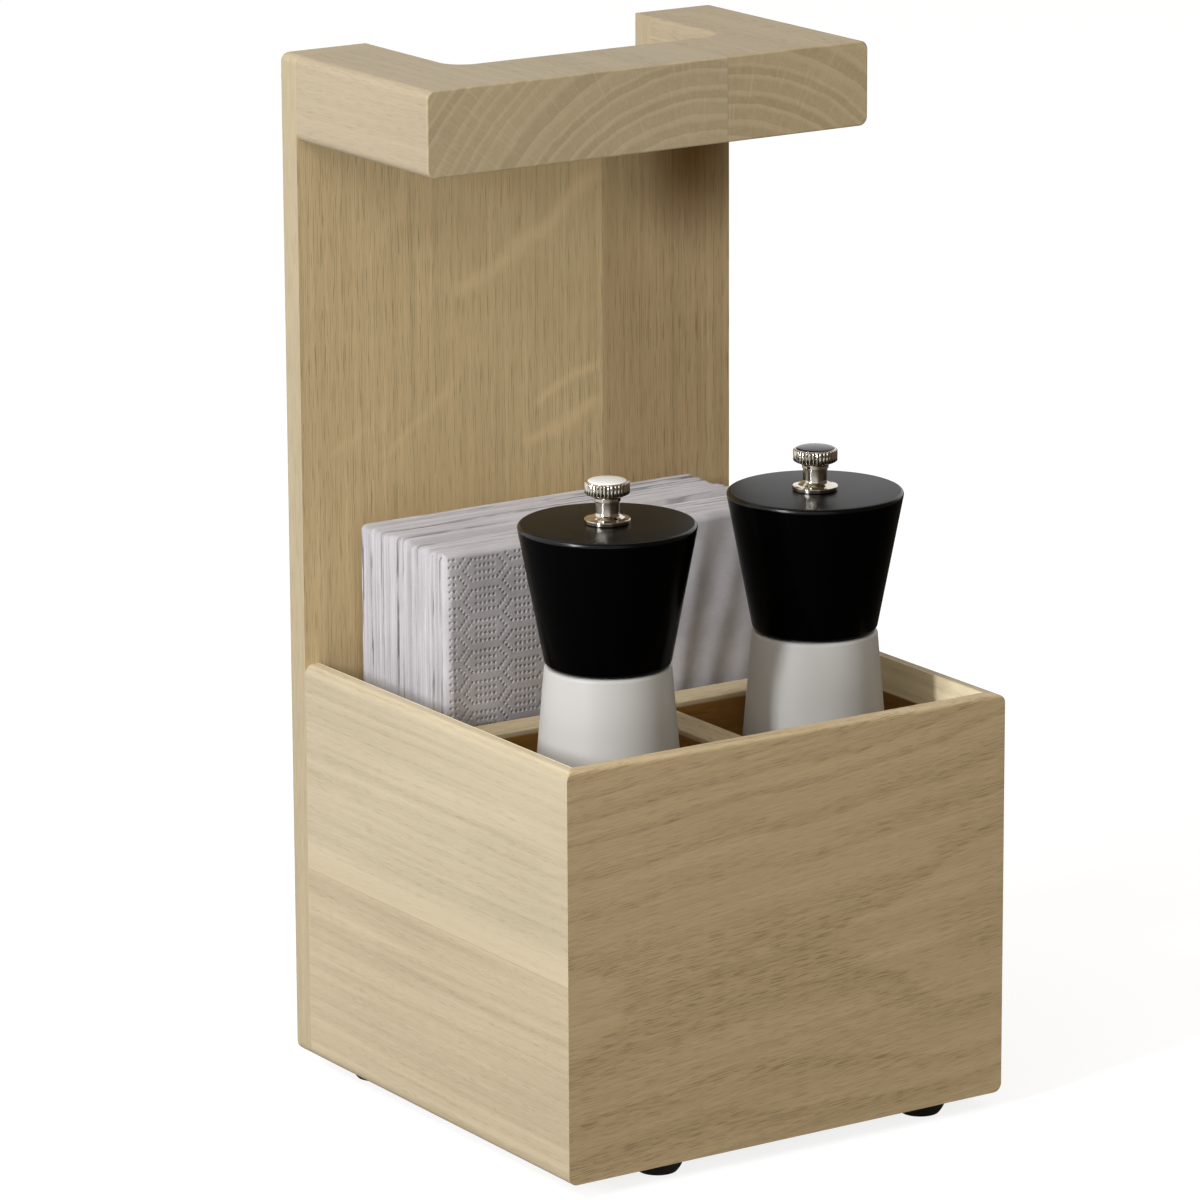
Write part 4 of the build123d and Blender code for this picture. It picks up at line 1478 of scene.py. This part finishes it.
@dataclass
class NapkinStack:
    """Folded paper napkins that stand on edge behind the divider."""

    width: float = 125.0 * MM
    height: float = 125.0 * MM
    thickness: float = 53.0 * MM
    front: float = 13.5 * MM
    base: float = FLOOR_TOP
    napkins: int = 20
    layers: int = 4
    leaf_thickness: float = 0.47 * MM
    leaf_gap: float = 0.02 * MM
    leaf_margin: Point = (0.9 * MM, 0.5 * MM)
    leaf_corner: float = 1.4 * MM
    leaf_flat: float = 9.0 * MM
    leaf_edge: float = 0.3 * MM
    corner_steps: int = 3
    rim_steps: int = 40
    first_leaf: float = 4.3 * MM
    last_margin: float = 0.4 * MM
    least_gap: float = 0.12
    gap_power: float = 2.5
    aside: Point = (-0.4 * MM, 0.9 * MM)
    sink: float = 1.5 * MM
    sink_power: float = 1.5
    stray: float = 0.35 * MM
    ripple: float = 2.2 * MM
    ripple_scale: Triple = (18.0, 90.0, 26.0)
    flutter: float = 0.9 * MM
    flutter_scale: Triple = (9.0, 700.0, 34.0)
    seed: int = 11

    def leaf_mesh(self) -> Mesh:
        """One folded layer: a thin rounded slab with a finely divided rim, centred on the origin."""
        half_w, half_h = self.width / 2 - self.leaf_margin[0], self.height / 2 - self.leaf_margin[1]
        signs = ((1, -1), (1, 1), (-1, 1), (-1, -1))
        arcs = soften([(sx * half_w, sz * half_h, self.leaf_corner) for sx, sz in signs], self.corner_steps)
        rim: list[Point] = []
        for i, ((ax, az), (bx, bz)) in enumerate(zip(arcs, arcs[1:] + arcs[:1]), 1):
            steps = 1 if i % (self.corner_steps + 1) else self.rim_steps
            rim += [(ax + (bx - ax) * k / steps, az + (bz - az) * k / steps) for k in range(steps)]
        t = self.leaf_thickness / 2
        insets = (self.leaf_flat, self.leaf_edge, 0.0, self.leaf_edge, self.leaf_flat)
        rows = [
            [(x * (1.0 - inset / half_w), y, z * (1.0 - inset / half_h)) for x, z in rim]
            for inset, y in zip(insets, (-t, -t, 0.0, t, t))
        ]
        return loft(rows, "leaf")

    def stack_recipe(self) -> Recipe:
        """Set leaves on points, shift each a little and ripple them together."""
        recipe = Recipe("napkin_leaves")
        leaf, stray, ripple, flutter, seed, finish = recipe.ask(
            Leaf="Object", Stray="Float", Ripple="Float", Flutter="Float", Seed="Int", Finish="Material")
        shape = recipe.add("GeometryNodeObjectInfo", {"Object": leaf}, "Geometry")
        places = {"Points": recipe.source.outputs["Geometry"], "Instance": shape}
        set_on = recipe.add("GeometryNodeInstanceOnPoints", places)
        reach = {"Min": (-1.0, 0.0, -1.0), "Max": (1.0, 0.0, 0.3), "Seed": seed}
        loose = recipe.add("FunctionNodeRandomValue", reach, data_type="FLOAT_VECTOR")
        shift = recipe.add("ShaderNodeVectorMath", {0: loose, "Scale": stray}, operation="SCALE")
        step = {"Instances": set_on, "Translation": shift, "Local Space": False}
        moved = recipe.add("GeometryNodeTranslateInstances", step)
        real = recipe.add("GeometryNodeRealizeInstances", {"Geometry": moved})
        spot = recipe.add("GeometryNodeInputPosition")
        moves = []
        for scale, amount in ((self.ripple_scale, ripple), (self.flutter_scale, flutter)):
            wave = recipe.add("ShaderNodeVectorMath", {0: spot, 1: scale}, operation="MULTIPLY")
            noise = recipe.add("ShaderNodeTexNoise", {"Vector": wave, "Scale": 1.0, "Detail": 2.0})
            centred = recipe.add("ShaderNodeMath", {0: noise, 1: 0.5}, operation="SUBTRACT")
            moves.append(recipe.add("ShaderNodeMath", {0: centred, 1: amount}, operation="MULTIPLY"))
        both = recipe.add("ShaderNodeMath", dict(enumerate(moves)), operation="ADD")
        offset = recipe.add("ShaderNodeCombineXYZ", {"Y": both})
        recipe.close(recipe.add("GeometryNodeSetPosition", {"Geometry": real, "Offset": offset}), finish)
        return recipe

    def leaf_places(self) -> list[Triple]:
        """Where the leaves stand: a few tight layers to a napkin, napkins unevenly apart."""
        draw = np.random.RandomState(self.seed)
        tight = self.leaf_thickness + self.leaf_gap
        room = self.thickness - self.first_leaf - self.last_margin
        gaps = draw.rand(self.napkins - 1) ** self.gap_power + self.least_gap
        gaps *= (room - tight * (self.napkins * self.layers - 1)) / gaps.sum()
        places = []
        y = self.front + self.first_leaf
        for gap in (*gaps, 0.0):
            x = draw.uniform(*self.aside)
            z = self.base + self.height / 2 - self.sink * draw.rand() ** self.sink_power
            places += [(x, y + tight * k, z) for k in range(self.layers)]
            y += tight * self.layers + gap
        return places

    def build_leaves(self, finish: Material) -> None:
        """Make the layers of the stack.

        Args:
            finish: napkin paper.
        """
        leaf = bpy.data.objects.new("leaf", self.leaf_mesh())
        mesh = self.stack_recipe().run(
            plain_mesh("places", self.leaf_places()), Leaf=leaf, Stray=self.stray, Ripple=self.ripple,
            Flutter=self.flutter, Seed=self.seed, Finish=finish)
        bpy.data.objects.remove(leaf)
        made = new_object("napkin_leaves", mesh, finish, 50.0)
        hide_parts("napkin_stack")
        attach(made, "napkins")

    def build_sheet(self, finish: Material) -> None:
        """Make the front napkin.

        Args:
            finish: napkin paper.
        """
        mesh = FrontNapkin(self.width, self.height, self.front, self.base).mesh()
        made = new_object("napkin_front", mesh, finish, 60.0)
        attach(made, "napkins")

    def build(self) -> None:
        """Make the whole stack."""
        self.build_leaves(EDGE_PAPER.material())
        self.build_sheet(SHADED_FRONT_PAPER.material())
        LOG.info("built the napkin stack")


@dataclass(frozen=True)
class Lamp:
    """One soft lamp, aimed at the object from a direction."""

    name: str
    towards: Triple
    size: Point
    power: float
    tint: Colour = (0.97, 1.0, 1.08)
    distance: float = 2.5
    aim: Triple = (0.0, 0.0, 0.15)

    def build(self) -> None:
        """Add the lamp to the scene."""
        data = bpy.data.lights.new(self.name, "AREA")
        data.shape = "RECTANGLE"
        data.size, data.size_y = self.size
        data.energy = self.power
        data.color = self.tint
        lamp = put(self.name, data)
        direction = Vector(self.towards).normalized()
        lamp.location = direction * self.distance + Vector(self.aim)
        lamp.rotation_euler = direction.to_track_quat("Z", "Y").to_euler()


@dataclass
class Studio:
    """Camera, lights, floor and backdrop."""

    azimuth: float = -33.172
    elevation: float = 14.370
    roll: float = -0.286
    lens: float = 198.82
    sensor: float = 36.0
    far_clip: float = 50.0
    eye: Triple = (-1.09547, -1.65166, 0.66557)
    lamps: tuple[Lamp, ...] = (
        Lamp("key", (-0.75, -0.07, 0.66), (0.35, 0.35), 21.0),
        Lamp("strip", (-0.93, -0.24, 0.30), (0.2, 0.5), 35.0),
        Lamp("fill", (-0.60, -0.70, 0.50), (2.6, 0.5), 7.0, WHITE),
    )
    low_sky: float = 0.13
    high_sky: float = 0.92
    sky_lean: Point = (1.14, 0.6)
    sky_turn: Point = (-0.6, 0.8)
    sky_tint: Colour = (1.0, 0.945, 0.845)
    room: Colour = (0.10, 0.08, 0.06)
    room_end: Point = (0.0, 0.3)
    floor_half: float = 6.0
    floor_glow: float = 0.84
    floor_cloth: float = 0.26
    floor_bounce: float = 0.5
    floor_fade: Point = (-0.7, 0.1)

    def build_camera(self) -> None:
        """Set the camera where the photograph was taken."""
        a, e, r = (math.radians(v) for v in (self.azimuth, self.elevation, self.roll))
        back = Vector((math.sin(a) * math.cos(e), -math.cos(a) * math.cos(e), math.sin(e)))
        right = Vector((0.0, 0.0, 1.0)).cross(back).normalized()
        tilted = right * math.cos(r) + back.cross(right) * math.sin(r)
        data = bpy.data.cameras.new("photo_camera")
        data.lens = self.lens
        data.sensor_width = self.sensor
        data.clip_end = self.far_clip
        camera = put("photo_camera", data)
        turn = Matrix((tilted, back.cross(tilted), back)).transposed().to_4x4()
        camera.matrix_world = Matrix.Translation(self.eye) @ turn
        bpy.context.scene.camera = camera

    def lookers(self, g: Graph) -> tuple[Socket, Socket]:
        """Whether the camera sees a place, straight or through glass, and whether a shiny surface does."""
        path = g.node("ShaderNodeLightPath").outputs
        return g.calc("MAXIMUM", path["Is Camera Ray"], path["Is Transmission Ray"]), path["Is Glossy Ray"]

    def build_lights(self) -> None:
        """Set the lamps on the left, and a world that is white behind the object and dim in front of it."""
        for lamp in self.lamps:
            lamp.build()
        world = bpy.data.worlds.new("studio")
        bpy.context.scene.world = world
        g = Graph(world)
        x, y, z = g.split(g.add("ShaderNodeTexCoord", output="Generated"))
        seen, glossy = self.lookers(g)
        white = g.mix(g.span(y, *self.room_end), self.room, WHITE)
        shown = g.add("ShaderNodeBackground", {"Color": g.mix(seen, white, WHITE), "Strength": 1.0})
        lean = g.between(g.span(x, *self.sky_turn), *self.sky_lean)
        climb = g.between(z, self.low_sky, self.high_sky)
        sky = g.add("ShaderNodeBackground", {"Color": self.sky_tint, "Strength": g.times(climb, lean)})
        g.close(g.blend(g.calc("MAXIMUM", seen, glossy), sky, shown), "World")

    def build_floor(self) -> None:
        """Lay a pale floor that keeps a soft shadow."""
        g = Graph.named("pale_floor")
        seen, glossy = self.lookers(g)
        bright = g.fall(g.split(g.place())[0], *self.floor_fade)
        mirrored = g.mix(bright, self.room, (self.floor_glow,) * 3)
        glow = g.add("ShaderNodeEmission", {"Strength": self.floor_glow})
        reflected = g.add("ShaderNodeEmission", {"Color": mirrored})
        cloth = g.add("ShaderNodeBsdfDiffuse", {"Color": (self.floor_cloth,) * 3})
        plain = g.add("ShaderNodeBsdfDiffuse", {"Color": (self.floor_bounce,) * 3})
        lit = g.add("ShaderNodeAddShader", {0: glow, 1: cloth})
        unseen = g.blend(glossy, plain, reflected)
        finish = g.close(g.blend(seen, unseen, lit))
        h = self.floor_half
        mesh = plain_mesh("floor", [(-h, -h, 0.0), (h, -h, 0.0), (h, h, 0.0), (-h, h, 0.0)], [(0, 1, 2, 3)])
        floor = new_object("floor", mesh, finish)

    def build(self) -> None:
        """Set up the whole studio."""
        bpy.context.scene.view_settings.view_transform = "Standard"
        self.build_camera()
        self.build_lights()
        self.build_floor()
        LOG.info("set up the studio")


def main() -> None:
    """Build the caddy's looks in order."""
    logging.basicConfig(level=logging.INFO, format="%(name)s: %(message)s")
    coats = {finish.name: finish.material() for finish in COATS}
    Woodwork().build()
    Feet().build(coats["plain_steel"])
    for side in Side:
        Mill(side).build(coats)
    NapkinStack().build()
    Studio().build()


if __name__ == "__main__":
    main()
